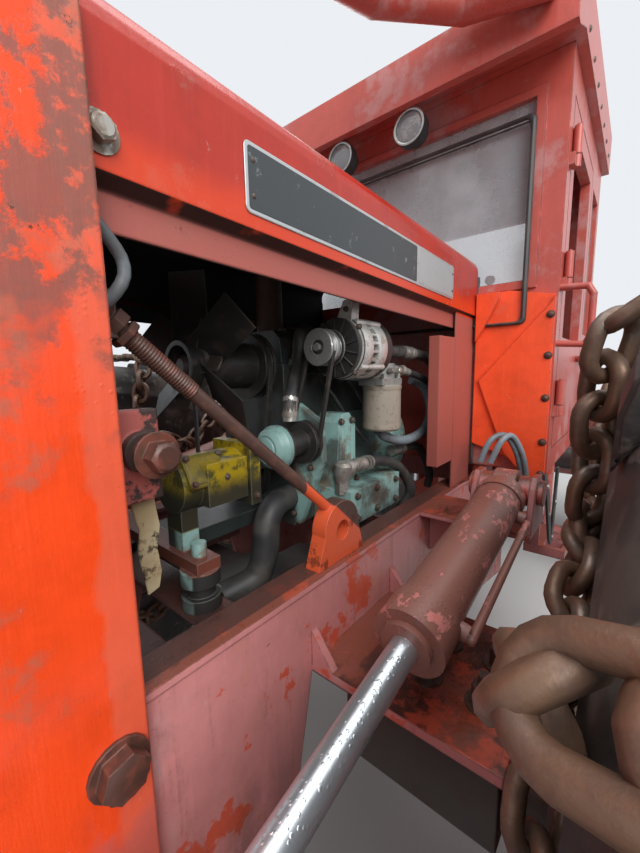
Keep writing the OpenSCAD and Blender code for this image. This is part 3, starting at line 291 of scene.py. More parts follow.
class Surface(Maker):
    """A material built as a base coat and the layers over it."""

    def __init__(self, name, colour, rough, metal=0.0):
        self.material = bpy.data.materials.new(name)
        self.material.use_nodes = True
        self.tree = self.material.node_tree
        self.tree.nodes.clear()
        self.colour, self.rough, self.metal = (*colour, 1), rough, metal
        self.lift = None
        self.place = self.node("ShaderNodeTexCoord", out="Object")
        self.known = {}

    def split(self, what):
        """The x, y and z of the place or of the object-space normal, made once."""
        if what not in self.known:
            source = self.place if what == "place" else self.node("ShaderNodeTexCoord", out="Normal")
            first = self.node("ShaderNodeSeparateXYZ", {0: source})
            outputs = first.output.node.outputs
            self.known[what] = [Socket(self, outputs[i]) for i in range(3)]
        return self.known[what]

    def along(self, axis):
        return self.split("place")["XYZ".index(axis)]

    def facing(self, axis):
        return self.split("normal")["XYZ".index(axis)]

    def noise(self, scale, detail=4.0, rough=0.55, stretch=(1, 1, 1), shift=0.0):
        moved = self.node("ShaderNodeMapping", {"Vector": self.place, "Location": (shift,) * 3, "Scale": stretch})
        return self.node(
            "ShaderNodeTexNoise", {"Vector": moved, "Scale": scale, "Detail": detail, "Roughness": rough}
        )

    def cells(self, scale, stretch=(1, 1, 1)):
        moved = self.node("ShaderNodeMapping", {"Vector": self.place, "Scale": stretch})
        return self.node("ShaderNodeTexVoronoi", {"Vector": moved, "Scale": scale}, out="Distance")

    def cut(self, value, low, high):
        """0 below low, 1 above high and smooth between."""
        inputs = {"Value": value, "From Min": low, "From Max": high}
        return self.node("ShaderNodeMapRange", inputs, interpolation_type="SMOOTHSTEP")

    def span(self, axis, low, high, soft=0.01, ragged=0.0, scale=14.0):
        """1 between two places along an axis, with an edge that is soft and uneven."""
        where = self.along(axis)
        if ragged:
            where = where + (self.noise(scale, 5) - 0.5) * ragged
        return self.cut(where, low - soft, low + soft) * (1 - self.cut(where, high - soft, high + soft))

    def rounded(self, radius):
        if "bevel" not in self.known:
            self.known["bevel"] = self.node("ShaderNodeBevel", {"Radius": radius}, samples=4)
        return self.known["bevel"]

    def edge(self, radius=0.006, low=0.03, high=0.2):
        """1 along the sharp edges."""
        flat = self.node("ShaderNodeNewGeometry", out="Normal")
        same = self.node(
            "ShaderNodeVectorMath", {0: self.rounded(radius), 1: flat}, out="Value", operation="DOT_PRODUCT"
        )
        return self.cut(1 - same, low, high)

    def mixed(self, mask, first, second):
        if first == second:
            return first
        return self.node("ShaderNodeMix", {0: mask, 2: first, 3: second})

    def over(self, mask, colour=None, rough=None, metal=None, lift=0.0):
        """A layer where the mask is 1. Lift is in millimetres."""
        if colour is not None:
            inputs = {0: mask, 6: self.colour, 7: colour if isinstance(colour, Socket) else (*colour, 1)}
            self.colour = self.node("ShaderNodeMix", inputs, out=2, data_type="RGBA")
        if rough is not None:
            self.rough = self.mixed(mask, self.rough, rough)
        if metal is not None:
            self.metal = self.mixed(mask, self.metal, metal)
        if lift:
            self.raise_by(mask * lift)
        return self

    def raise_by(self, height):
        self.lift = height if self.lift is None else self.lift + height
        return self

    def done(self, **sockets):
        inputs = {"Base Color": self.colour, "Roughness": self.rough, "Metallic": self.metal, **sockets}
        if self.lift is not None:
            bump = {"Height": self.lift, "Distance": MM, "Strength": 1.0}
            if "bevel" in self.known:
                bump["Normal"] = self.known["bevel"]
            inputs["Normal"] = self.node("ShaderNodeBump", bump, out="Normal")
        shader = self.node("ShaderNodeBsdfPrincipled", inputs)
        self.node("ShaderNodeOutputMaterial", {"Surface": shader})
        return self.material


# Finishes


def weather(surface, faded, rust, grime, fade=0.5, chips=0.5, dirt=0.5, scale=1.0, scrape=0.5):
    """Layers that years outdoors put over paint: fade, scrapes, chips, rusty edges and dirt."""
    broad = surface.noise(1.9 * scale, 5, 0.6)
    patch = surface.noise(8 * scale, 7, 0.68, shift=3.1)
    fine = surface.noise(46 * scale, 5, 0.7, shift=7.7)
    brushed = surface.noise(9, 4, 0.6, stretch=(9, 9, 0.7), shift=1.3)
    base = surface.colour
    surface.over(surface.cut(patch, 0.35, 0.75) * 0.5, tuple(c * 0.62 for c in base[:3]))
    surface.over(surface.cut(brushed, 0.5, 0.8) * 0.35, tuple(min(1, c * 1.2 + 0.02) for c in base[:3]))
    worn = surface.cut(broad * 0.55 + patch * 0.45, 0.62 - 0.2 * fade, 0.70 - 0.2 * fade)
    surface.over(worn * 0.85, faded, rough=0.46)
    streak = surface.noise(6, 6, 0.62, stretch=(7, 7, 0.55), shift=5.0)
    surface.over(surface.cut(streak * 0.7 + fine * 0.3, 0.60 - 0.08 * dirt, 0.74) * 0.55 * dirt, grime, rough=0.6)
    pale = tuple(min(1, 0.35 * c + 0.30) for c in faded)
    scuff = surface.noise(21 * scale, 9, 0.74, stretch=(1, 2.2, 1), shift=11)
    surface.over(surface.cut(scuff, 0.69 - 0.07 * scrape, 0.72) * 0.55, pale, rough=0.5, lift=-0.12)
    flake = surface.noise(15 * scale, 11, 0.76, shift=17)
    bare = surface.cut(flake * 0.72 + broad * 0.28, 0.665 - 0.075 * chips, 0.68 - 0.07 * chips)
    surface.over(bare, rust, rough=0.82, lift=-0.45)
    surface.over(surface.edge() * surface.cut(patch + fine, 0.78, 1.0) * 0.9, rust, rough=0.75)
    surface.raise_by(brushed * 0.5 + patch * 0.9 + fine * 0.22)
    return surface


def drops(surface, amount=0.35):
    """Rain drops: small glossy beads."""
    bead = 1 - surface.cut(surface.cells(95), 0.10, 0.30)
    gather = surface.cut(surface.noise(5, 3, shift=23), 0.5, 0.62)
    surface.raise_by(bead * gather * amount)
    surface.over(bead * gather * 0.6, rough=0.08)
    return surface


def settle(surface, grime, start=0.55, strength=0.85):
    """Dirt and litter that lies on what faces up."""
    top = surface.cut(surface.facing("Z"), 0.55, 0.9)
    loose = surface.cut(surface.noise(13, 8, 0.7, shift=29), start - 0.14, start + 0.1)
    surface.over(top * loose * strength, grime, rough=0.55, lift=0.5)
    return surface


def soot_inside(surface, low):
    """Near-black painted shade, with oily dirt, on what faces the engine: inwards or down, above a height."""
    side = surface.math("SIGN", surface.along("X"))
    inwards = surface.cut(surface.facing("X") * side * -1, 0.3, 0.6)
    down = surface.cut(surface.facing("Z") * -1, 0.6, 0.8) * surface.cut(surface.along("Z"), 1.80, 1.82)
    soot = surface.math("MAXIMUM", inwards, down) * surface.cut(surface.along("Z"), low, low + 0.01)
    return surface.over(soot, (0.010, 0.009, 0.0085), rough=0.7)


def guard_paint(c):
    s = Surface("guard_paint", c.orange, 0.27)
    weather(s, (0.42, 0.11, 0.065), c.rust, c.grime, fade=0.34, chips=0.40, dirt=0.35, scale=1.25)
    side = s.cut(s.along("X"), 0.40, 0.41)
    s.over(side * s.span("Y", -1.885, -1.80, 0.006, 0.05) * 0.35, (0.54, 0.17, 0.11), rough=0.36)
    chalky = s.span("Z", 0.6, 0.98, 0.05, 0.4) * s.span("Y", -1.925, -1.80, 0.02, 0.12)
    s.over(side * chalky * 0.6, c.faded, rough=0.5)
    high = s.span("Z", 1.60, 2.1, 0.08, 0.7) * s.cut(s.noise(7, 8, 0.7, shift=41), 0.47, 0.53)
    s.over(side * high * 0.8, (0.155, 0.07, 0.055), rough=0.5, lift=-0.2)
    bracket = s.span("X", 0.30, 0.40, 0.003) * s.span("Z", 1.35, 1.495, 0.003) * s.cut(s.along("Y"), -1.846, -1.842)
    s.over(bracket, (0.40, 0.105, 0.09), rough=0.42)
    s.over(bracket * s.cut(s.noise(13, 7, 0.7, shift=44), 0.50, 0.56), (0.045, 0.03, 0.027), rough=0.5)
    s.over(bracket * s.cut(s.along("X"), 0.346, 0.348), (0.055, 0.032, 0.027), rough=0.4)
    return drops(s).done()


def hood_paint(c):
    s = Surface("hood_paint", tuple(p * 0.74 for p in c.red), 0.25)
    weather(s, (0.33, 0.13, 0.10), c.rust, c.grime, fade=0.25, chips=0.34, dirt=0.5)
    slope = s.along("Z") + s.along("Y") * 0.028
    low = 1 - s.cut(slope + (s.noise(11, 6, shift=2) - 0.5) * 0.05, 1.742, 1.80)
    s.over(low * 0.7, tuple(p * 0.8 for p in c.orange), rough=0.26)
    # Painted shade: faces that look down, under the hood's bend, take the grime colour.
    ledge = s.cut(s.facing("Z") * -1, 0.3, 0.7)
    s.over(ledge * s.cut(s.noise(16, 7, shift=6), 0.24, 0.42) * 0.97, c.grime, rough=0.6)
    lip = 1 - s.cut(slope, 1.712, 1.716)
    s.over(lip * 0.7, (0.27, 0.115, 0.10), rough=0.5)
    # The hood's inside faces take near-black painted shade with oily dirt.
    return soot_inside(drops(s, 0.25), 0.70).done()


def frame_paint(c):
    s = Surface("frame_paint", (0.60, 0.235, 0.225), 0.42)
    weather(s, (0.60, 0.24, 0.19), c.rust, c.grime, fade=0.35, chips=0.45, dirt=0.75, scrape=0.9)
    orange = s.cut(s.noise(5.5, 9, 0.72, shift=51), 0.57, 0.60)
    s.over(orange * 0.9, (0.62, 0.085, 0.035), rough=0.3, lift=0.15)
    dust = s.noise(10, 8, 0.66, stretch=(1, 1, 0.45), shift=61)
    s.over(s.cut(dust, 0.55, 0.78) * 0.5, (0.56, 0.40, 0.39), rough=0.6)
    top = s.cut(s.facing("Z"), 0.5, 0.85)
    s.over(top * 0.86, (0.17, 0.045, 0.022), rough=0.30)
    s.over(top * s.cut(s.noise(9, 8, 0.7, shift=71), 0.56, 0.62) * 0.8, (0.46, 0.085, 0.045), rough=0.3)
    wet = s.cut(s.noise(7, 8, 0.7, stretch=(1, 0.5, 1), shift=81), 0.52, 0.62)
    s.over(top * wet * 0.8, c.grime, rough=0.35, lift=0.3)
    s.over((1 - s.cut(s.along("Z"), 0.5, 0.95)) * s.cut(dust, 0.35, 0.6) * 0.6, c.grime, rough=0.7)
    # Painted shade: inside the rails, under the engine, the frame is a near-black red.
    within = (1 - s.cut(abs(s.along("X")), 0.368, 0.372)) * (1 - s.cut(s.along("Y"), -0.8, -0.6))
    s.over(within * 0.8, (0.055, 0.028, 0.024), rough=0.45)
    pad = s.cut(abs(s.along("X")), 0.47, 0.48) * s.span("Y", -1.49, -1.11, 0.004) * top
    s.over(pad * s.cut(s.noise(6, 8, 0.7, shift=91), 0.46, 0.54) * 0.85, (0.52, 0.085, 0.045), rough=0.3)
    s.over(pad * s.cut(s.noise(5, 7, 0.7, shift=97), 0.54, 0.62) * 0.9, (0.06, 0.03, 0.024), rough=0.4, lift=0.4)
    return drops(s, 0.2).done()


def cab_paint(c):
    s = Surface("cab_paint", (0.46, 0.085, 0.065), 0.32)
    weather(s, (0.46, 0.20, 0.19), c.rust, c.grime, fade=0.62, chips=0.4, dirt=0.5)
    return drops(s, 0.25).done()


def cowl_paint(c):
    s = Surface("cowl_paint", (0.92, 0.092, 0.026), 0.27)
    weather(s, (0.50, 0.16, 0.11), c.rust, c.grime, fade=0.12, chips=0.22, dirt=0.3, scale=1.6)
    return drops(s, 0.25).done()


def rear_paint(c):
    s = Surface("rear_paint", (0.40, 0.07, 0.045), 0.42)
    weather(s, (0.40, 0.16, 0.13), c.rust, c.grime, fade=0.5, chips=0.75, dirt=1.0, scrape=0.9)
    settle(s, c.grime)
    return s.done()


def blade_paint(c):
    s = Surface("blade_paint", (0.40, 0.07, 0.045), 0.4)
    weather(s, (0.42, 0.18, 0.15), c.rust, c.grime, fade=0.6, chips=0.9, dirt=0.9, scrape=1.0)
    bright = 1 - s.cut(s.along("Z") + (s.noise(9, 7) - 0.5) * 0.35, 0.10, 0.30)
    s.over(bright * 0.9, (0.22, 0.19, 0.17), rough=0.38, metal=0.8)
    return s.done()


def worn_steel(name, colour, rough, c, wet=0.0, rusty=0.5):
    s = Surface(name, colour, rough)
    patch = s.noise(16, 8, 0.7)
    fine = s.noise(75, 4, 0.7, shift=5)
    s.over(s.cut(patch, 0.42, 0.7) * rusty, c.rust, rough=0.75)
    s.over(s.cut(s.noise(6, 5, shift=9), 0.5, 0.7) * 0.6, c.grime, rough=0.5 - wet)
    s.over(s.edge() * 0.4, tuple(min(1, p * 2.4 + 0.03) for p in colour), rough=0.4, metal=0.5)
    s.raise_by(patch * 0.8 + fine * 0.4)
    return s


def oily_steel(c):
    return worn_steel("oily_steel", (0.045, 0.038, 0.034), 0.42, c, wet=0.2, rusty=0.3).done()


def rusty_pipe(c):
    return worn_steel("rusty_pipe", (0.085, 0.045, 0.032), 0.5, c, wet=0.1, rusty=0.5).done()


def engine_paint(c):
    """Castings, pump, filter and mounts, told apart by their places, with the far side painted near-black as shade."""
    s = Surface("engine_paint", c.teal, 0.36)
    patch = s.noise(11, 8, 0.72)
    fine = s.noise(58, 5, 0.7, shift=4)
    s.over(s.cut(patch, 0.50, 0.60) * 0.75, (0.20, 0.105, 0.06), rough=0.55)
    s.over(s.cut(s.noise(5, 6, 0.6, shift=8), 0.50, 0.62) * 0.8, (0.05, 0.045, 0.04), rough=0.5)
    # Painted shade: the engine's far side, deep in the bay, is near-black.
    far = 1 - s.cut(s.along("X"), 0.125, 0.150)
    s.over(far * 0.94, (0.020, 0.019, 0.018), rough=0.42)
    low = 1 - s.cut(s.along("Z") + (patch - 0.5) * 0.06, 1.075, 1.115)
    s.over(low * 0.7, (0.05, 0.04, 0.033), rough=0.5)
    pump = s.span("X", 0.055, 0.215, 0.003) * s.span("Z", 1.20, 1.40, 0.003) * s.span("Y", -1.70, -1.442, 0.002)
    s.over(pump, tuple(p * 0.7 for p in c.yellow), rough=0.4)
    s.over(pump * s.cut(patch, 0.44, 0.56), (0.065, 0.057, 0.016), rough=0.5)
    s.over(pump * (1 - s.cut(s.along("Z") + (patch - 0.5) * 0.08, 1.27, 1.32)), (0.03, 0.028, 0.016), rough=0.5)
    near_filter = s.span("X", 0.185, 0.325, 0.002) * s.span("Y", -1.02, -0.88, 0.002)
    s.over(near_filter * s.span("Z", 1.34, 1.4925, 0.001), (0.30, 0.255, 0.205), rough=0.42)
    s.over(near_filter * s.span("Z", 1.4925, 1.60, 0.001), (0.28, 0.28, 0.26), rough=0.4, metal=0.3)
    s.over(near_filter * s.cut(fine * 0.5 + patch * 0.5, 0.52, 0.60) * 0.6, (0.12, 0.085, 0.06), rough=0.55)
    beam = s.span("Y", -1.655, -1.585, 0.002)
    s.over(beam * s.span("Z", 1.126, 1.158, 0.001), (0.15, 0.045, 0.03), rough=0.4)
    s.over(beam * (1 - s.cut(s.along("Z"), 1.126, 1.128)), (0.022, 0.02, 0.019), rough=0.55)
    s.over(s.edge(0.004) * 0.25, (0.40, 0.45, 0.42))
    s.raise_by(patch * 0.7 + fine * 0.35)
    return s.done()


def cylinder_paint(c):
    s = Surface("cylinder_paint", (0.275, 0.118, 0.092), 0.34)
    broad = s.noise(4, 5)
    flake = s.noise(24, 11, 0.76, stretch=(1, 0.55, 1), shift=3)
    s.over(s.cut(broad, 0.4, 0.7) * 0.6, (0.10, 0.045, 0.036), rough=0.5)
    s.over(s.cut(flake * 0.75 + broad * 0.25, 0.535, 0.55), (0.56, 0.20, 0.175), rough=0.42, lift=0.35)
    s.over(s.cut(flake * 0.8 + broad * 0.2, 0.60, 0.62) * 0.8, (0.60, 0.09, 0.05), rough=0.36)
    s.raise_by(s.noise(60, 5) * 0.4)
    return drops(s, 0.3).done()


def chrome(c):
    s = Surface("chrome_rod", (0.60, 0.65, 0.69), 0.30, 0.82)
    drip = s.noise(30, 6, 0.6, stretch=(1, 0.3, 1))
    s.over(s.cut(drip, 0.52, 0.72) * 0.5, (0.36, 0.38, 0.40), rough=0.42)
    bead = 1 - s.cut(s.cells(120), 0.14, 0.34)
    s.raise_by(bead * 0.35 + s.noise(90, 2) * 0.08)
    return s.done()


def tyre_rubber(c):
    s = Surface("tyre_rubber", c.rubber, 0.5)
    patch = s.noise(6, 8, 0.7)
    fine = s.noise(70, 5, 0.7, shift=3)
    s.over(s.cut(patch, 0.45, 0.68) * 0.65, (0.115, 0.098, 0.084), rough=0.8)
    s.over(s.cut(s.noise(22, 6, shift=9), 0.58, 0.66) * 0.5, (0.19, 0.165, 0.14), rough=0.85, lift=0.3)
    s.over(s.edge(0.006) * 0.4, (0.11, 0.105, 0.10))
    s.raise_by(patch * 0.9 + fine * 0.5)
    return s.done()


def chain_steel(c):
    s = Surface("chain_steel", c.chain, 0.42, 0.35)
    patch = s.noise(30, 8, 0.7)
    s.over(s.cut(patch, 0.42, 0.62) * 0.8, (0.085, 0.046, 0.032), rough=0.62, metal=0.1)
    s.over(s.cut(s.noise(12, 5, shift=4), 0.52, 0.66) * 0.6, (0.24, 0.205, 0.18), rough=0.3, metal=0.7)
    s.raise_by(patch * 0.7 + s.noise(110, 4) * 0.35)
    return s.done()


def tinted_glass(c):
    s = Surface("tinted_glass", (0.40, 0.43, 0.45), 0.06)
    haze = s.cut(s.noise(3.2, 6, 0.65), 0.45, 0.75)
    spots = 1 - s.cut(s.cells(70), 0.05, 0.13)
    s.over(haze * 0.4, (0.62, 0.64, 0.65), rough=0.35)
    return s.done(Alpha=0.42 + haze * 0.14 + spots * 0.2)


def seat_vinyl(c):
    s = Surface("seat_vinyl", (0.022, 0.021, 0.021), 0.45)
    grain = s.cells(420)
    s.over(s.cut(s.noise(14, 5), 0.5, 0.75) * 0.5, (0.09, 0.085, 0.08), rough=0.6)
    return s.raise_by(grain * 0.35).done()


def rim_paint(c):
    s = Surface("rim_paint", (0.42, 0.08, 0.05), 0.4)
    weather(s, (0.42, 0.18, 0.15), c.rust, c.grime, fade=0.5, chips=0.8, dirt=1.0)
    return s.done()


def engine_parts(c):
    """Fan, pulleys and belts: black with oil."""
    s = Surface("engine_parts", (0.022, 0.020, 0.019), 0.42)
    patch = s.noise(14, 8, 0.72)
    s.over(s.cut(patch, 0.52, 0.64) * 0.7, (0.06, 0.042, 0.032), rough=0.6)
    s.over(s.edge(0.003) * 0.22, (0.16, 0.155, 0.15))
    s.raise_by(patch * 0.6 + s.noise(70, 5) * 0.35)
    return s.done()


def brace_paint(c):
    """Brown rod, and its eye bracket in orange."""
    s = Surface("brace_paint", (0.075, 0.038, 0.030), 0.45)
    s.over(s.cut(s.noise(30, 7, 0.7), 0.5, 0.62) * 0.6, (0.14, 0.065, 0.045), rough=0.55)
    foot = s.cut(s.along("Y"), -1.452, -1.448) * s.span("X", 0.336, 0.380, 0.001)
    rod = s.cut(s.along("Z") + s.along("Y") * 0.905, -0.013, -0.006)
    s.over(foot * (1 - rod), (0.66, 0.10, 0.035), rough=0.3)
    s.over(foot * s.cut(s.noise(20, 7, 0.7, shift=4), 0.56, 0.62) * 0.7, c.rust, rough=0.6)
    s.over(s.edge(0.004) * foot * 0.5, (0.50, 0.20, 0.15))
    s.raise_by(s.noise(60, 5) * 0.5)
    return s.done()


def lamp_glass(c):
    s = Surface("lamp_glass", (0.16, 0.165, 0.17), 0.14)
    s.over(s.cut(s.noise(24, 6, 0.7), 0.52, 0.64) * 0.6, (0.34, 0.31, 0.28), rough=0.5)
    ribs = s.noise(40, 2, stretch=(6, 1, 0.2))
    return s.raise_by(ribs * 1.2).done(**{"Coat Weight": 0.4})


# Simple finishes: base coat, roughness, metal, stains, grain and worn edges. A stain has its noise, where it
# starts and is full, its strength, colour, roughness and metal; grain has scale, detail and height; an edge
# has strength, colour and roughness. A colour is given, or named with its share.
EVEN = (1, 1, 1)
COATS = {
    "teal_cap": (("teal", 0.72), 0.34, 0.0, [((13, 8, 0.72), 0.52, 0.64, 0.7, (0.10, 0.095, 0.08), 0.5)],
                 (55, 5, 0.4), (0.4, (0.34, 0.42, 0.38))),
    "canister_paint": ((0.30, 0.255, 0.205), 0.42, 0.0, [((30, 7, 0.7), 0.52, 0.62, 0.6, (0.12, 0.085, 0.06), 0.55)],
                       (70, 4, 0.3)),
    "pump_cover_paint": (("yellow", 0.36), 0.42, 0.0,
                         [((18, 8, 0.72), 0.46, 0.60, 0.85, (0.075, 0.068, 0.028), 0.55)],
                         (60, 5, 0.4), (0.5, (0.22, 0.19, 0.04))),
    "cream_paint": ((0.44, 0.37, 0.23), 0.45, 0.0,
                    [((17, 8, 0.74), 0.55, 0.60, 0.95, (0.035, 0.025, 0.018), 0.6),
                     ((7, 5, 0.55, EVEN, 3), 0.48, 0.66, 0.5, (0.28, 0.17, 0.07), 0.5)], (50, 5, 0.4)),
    "black_plastic": ((0.018, 0.018, 0.019), 0.5, 0.0, [((12, 6), 0.5, 0.7, 0.5, (0.07, 0.062, 0.055), 0.7)],
                      (140, 3, 0.25)),
    "radiator_core": ((0.022, 0.021, 0.02), 0.55, 0.0, [((9, 7), 0.48, 0.65, 0.7, (0.07, 0.055, 0.042), 0.8)],
                      (60, 4, 0.5)),
    "hose_rubber": ((0.032, 0.031, 0.031), 0.5, 0.0, [((13, 6), 0.45, 0.62, 0.6, (0.085, 0.075, 0.066), 0.7)],
                    (85, 4, 0.4)),
    "grey_hose": ((0.20, 0.235, 0.26), 0.45, 0.0, [((12, 6), 0.45, 0.62, 0.6, (0.09, 0.085, 0.08), 0.6)], (85, 4, 0.3)),
    "fitting_metal": ((0.42, 0.41, 0.38), 0.38, 0.7, [((26, 7), 0.45, 0.6, 0.8, (0.14, 0.10, 0.075), 0.6, 0.2)],
                      (90, 4, 0.3)),
    "bright_bolt": ((0.40, 0.385, 0.34), 0.38, 0.7, [((38, 6), 0.45, 0.60, 0.8, (0.13, 0.075, 0.045), 0.65, 0.1)],
                    (130, 4, 0.3)),
    "rusty_bolt": ((0.085, 0.038, 0.028), 0.40, 0.15, [((34, 6), 0.48, 0.62, 0.7, (0.19, 0.055, 0.035), 0.45)],
                   (120, 4, 0.35), (0.4, (0.22, 0.13, 0.10), 0.4)),
    "bolt_metal": ((0.12, 0.10, 0.085), 0.45, 0.5, [((30, 6), 0.42, 0.6, 0.8, ("rust", 1.0), 0.75, 0.0)],
                   (120, 4, 0.3)),
    "plate_pale": ((0.42, 0.44, 0.44), 0.36, 0.35, [((26, 8, 0.7), 0.56, 0.66, 0.5, (0.26, 0.26, 0.25), 0.5)],
                   (60, 4, 0.2)),
    "plate_dark": ((0.052, 0.058, 0.062), 0.34, 0.2, [((26, 8, 0.7), 0.60, 0.68, 0.6, (0.30, 0.31, 0.31), 0.4)],
                   (60, 4, 0.2)),
    "plate_silver": ((0.56, 0.58, 0.58), 0.34, 0.75, [((20, 9, 0.72), 0.54, 0.62, 0.6, (0.25, 0.24, 0.23), 0.55, 0.3)],
                     (70, 4, 0.2)),
    "aluminium": ((0.60, 0.60, 0.57), 0.38, 0.6,
                  [((24, 8, 0.7), 0.52, 0.60, 0.7, (0.22, 0.16, 0.12), 0.65, 0.1),
                   ((8, 5, 0.55, EVEN, 6), 0.5, 0.7, 0.6, (0.11, 0.105, 0.10), 0.6)], (90, 5, 0.35)),
    "bright_metal": ((0.40, 0.40, 0.39), 0.32, 0.75, [((26, 7, 0.7), 0.5, 0.62, 0.7, (0.16, 0.13, 0.11), 0.5, 0.4)],
                     (90, 4, 0.25)),
    "dial_face": ((0.030, 0.030, 0.031), 0.25, 0.0, [((40, 3), 0.55, 0.7, 0.4, (0.10, 0.095, 0.09), 0.5)], None),
    "knob_red": ((0.30, 0.02, 0.015), 0.3, 0.0, [((50, 5), 0.5, 0.66, 0.5, (0.06, 0.02, 0.018), 0.55)], (120, 3, 0.1)),
    "studio_floor": (("floor", 1.0), 0.75, 0.0, [], (30, 4, 0.2)),
}


def shade(c, given):
    """The colour as it is given, or a share of a named one."""
    if isinstance(given[0], str):
        name, share = given
        return tuple(part * share for part in getattr(c, name))
    return given


def coat(name, c):
    """A simple finish from the table."""
    base, rough, metal, stains, grain, *edges = COATS[name]
    s = Surface(name, shade(c, base), rough, metal)
    for noise, start, full, strength, colour, *gloss in stains:
        s.over(s.cut(s.noise(*noise), start, full) * strength, shade(c, colour), *gloss)
    for strength, colour, *gloss in edges:
        s.over(s.edge(0.003) * strength, colour, *gloss)
    if grain:
        scale, detail, height = grain
        s.raise_by(s.noise(scale, detail) * height)
    return s.done()


FINISHES = {}


def finish(name):
    """The material of that name, made once."""
    if name not in FINISHES:
        colours = bpy.context.scene.skidder_colours
        FINISHES[name] = coat(name, colours) if name in COATS else globals()[name](colours)
    return FINISHES[name]


# Meshes


class Shape:
    """Collects the faces of one piece, with its place in the machine's frame."""

    def __init__(self):
        self.points, self.faces = [], []

    def add(self, points, faces, place=None):
        start = len(self.points)
        self.points += [place @ Vector(p) if place else Vector(p) for p in points]
        self.faces += [[start + i for i in face] for face in faces]
        return self

    def loft(self, rings, place=None, closed=False, caps=True):
        """Skin over rings that have the same number of points."""
        n, rows = len(rings[0]), len(rings)
        faces = []
        for r in range(rows if closed else rows - 1):
            a, b = r * n, (r + 1) % rows * n
            faces += [(a + i, a + (i + 1) % n, b + (i + 1) % n, b + i) for i in range(n)]
        if caps and not closed:
            faces += [tuple(reversed(range(n))), tuple(range((rows - 1) * n, rows * n))]
        return self.add([p for ring in rings for p in ring], faces, place)

    def lathe(self, profile, place, sides=32, closed=False):
        """(along, radius) pairs turned round the place's Z. A radius of 0 closes an end."""
        rings = []
        for along, radius in profile:
            turn = [2 * math.pi * i / sides for i in range(sides)]
            rings.append([(radius * math.cos(t), radius * math.sin(t), along) for t in turn])
        return self.loft(rings, place, closed=closed, caps=not closed)

    def prism(self, outline, low, high, place=None):
        """(x, y) points pulled along the place's Z."""
        return self.loft([[(x, y, z) for x, y in outline] for z in (low, high)], place)

    def box(self, low, high, place=None):
        outline = [(low[0], low[1]), (high[0], low[1]), (high[0], high[1]), (low[0], high[1])]
        return self.prism(outline, low[2], high[2], place)

    def mesh(self, name, sharp=SHARP, bevel=0.0):
        """A clean closed mesh, its normals outwards, with smooth faces between sharp edges."""
        bm = bmesh.new()
        made = [bm.verts.new(p) for p in self.points]
        for face in self.faces:
            corners = [made[i] for i in dict.fromkeys(face)]
            if len(corners) > 2:
                bm.faces.new(corners)
        bmesh.ops.remove_doubles(bm, verts=bm.verts, dist=0.00002)
        bmesh.ops.dissolve_degenerate(bm, edges=bm.edges, dist=0.00001)
        bmesh.ops.recalc_face_normals(bm, faces=bm.faces)
        if bevel:
            hard = [e for e in bm.edges if len(e.link_faces) == 2 and e.calc_face_angle() > BEVEL_FROM]
            bmesh.ops.bevel(bm, geom=hard, offset=bevel, segments=2, affect="EDGES", clamp_overlap=True)
        data = bpy.data.meshes.new(name)
        bm.to_mesh(data)
        bm.free()
        return smoothed(data, sharp)

    def piece(self, name, material, slot, body="front_frame", **options):
        """The finished piece: this shape's mesh in a finish, on a body."""
        return piece(name, self.mesh(name, **options), finish(material), slot, body)


def smoothed(data, sharp=SHARP):
    """The mesh with smooth faces between its sharp edges."""
    data.polygons.foreach_set("use_smooth", [True] * len(data.polygons))
    data.set_sharp_from_angle(angle=math.radians(sharp))
    return data


def axis_place(origin, direction, side=(0, 0, 1)):
    """A frame at the origin whose Z looks along the direction."""
    z = Vector(direction).normalized()
    x = Vector(side) - z * z.dot(Vector(side))
    if x.length < 1e-4:
        x = z.orthogonal()
    x.normalize()
    y = z.cross(x)
    turn = Matrix((x, y, z)).transposed().to_4x4()
    return Matrix.Translation(origin) @ turn


def upright(x, y, z):
    """A frame at that place whose Z looks up."""
    return axis_place((x, y, z), UP)


def turned(place, k, count):
    """The frame turned to the k-th of so many steps round its Z."""
    return place @ Matrix.Rotation(k * math.tau / count, 4, "Z")


def smooth_path(points, step=0.012):
    """A Catmull-Rom line through the points, with even steps."""
    given = [Vector(p) for p in points]
    ends = [given[0] * 2 - given[1], *given, given[-1] * 2 - given[-2]]
    line = []
    for p0, p1, p2, p3 in zip(ends, ends[1:], ends[2:], ends[3:]):
        parts = max(2, round((p2 - p1).length / step))
        for i in range(parts):
            t = i / parts
            square, cube = 2 * p0 - 5 * p1 + 4 * p2 - p3, 3 * (p1 - p2) + p3 - p0
            line.append(0.5 * (2 * p1 + (p2 - p0) * t + square * t**2 + cube * t**3))
    return [*line, given[-1]]


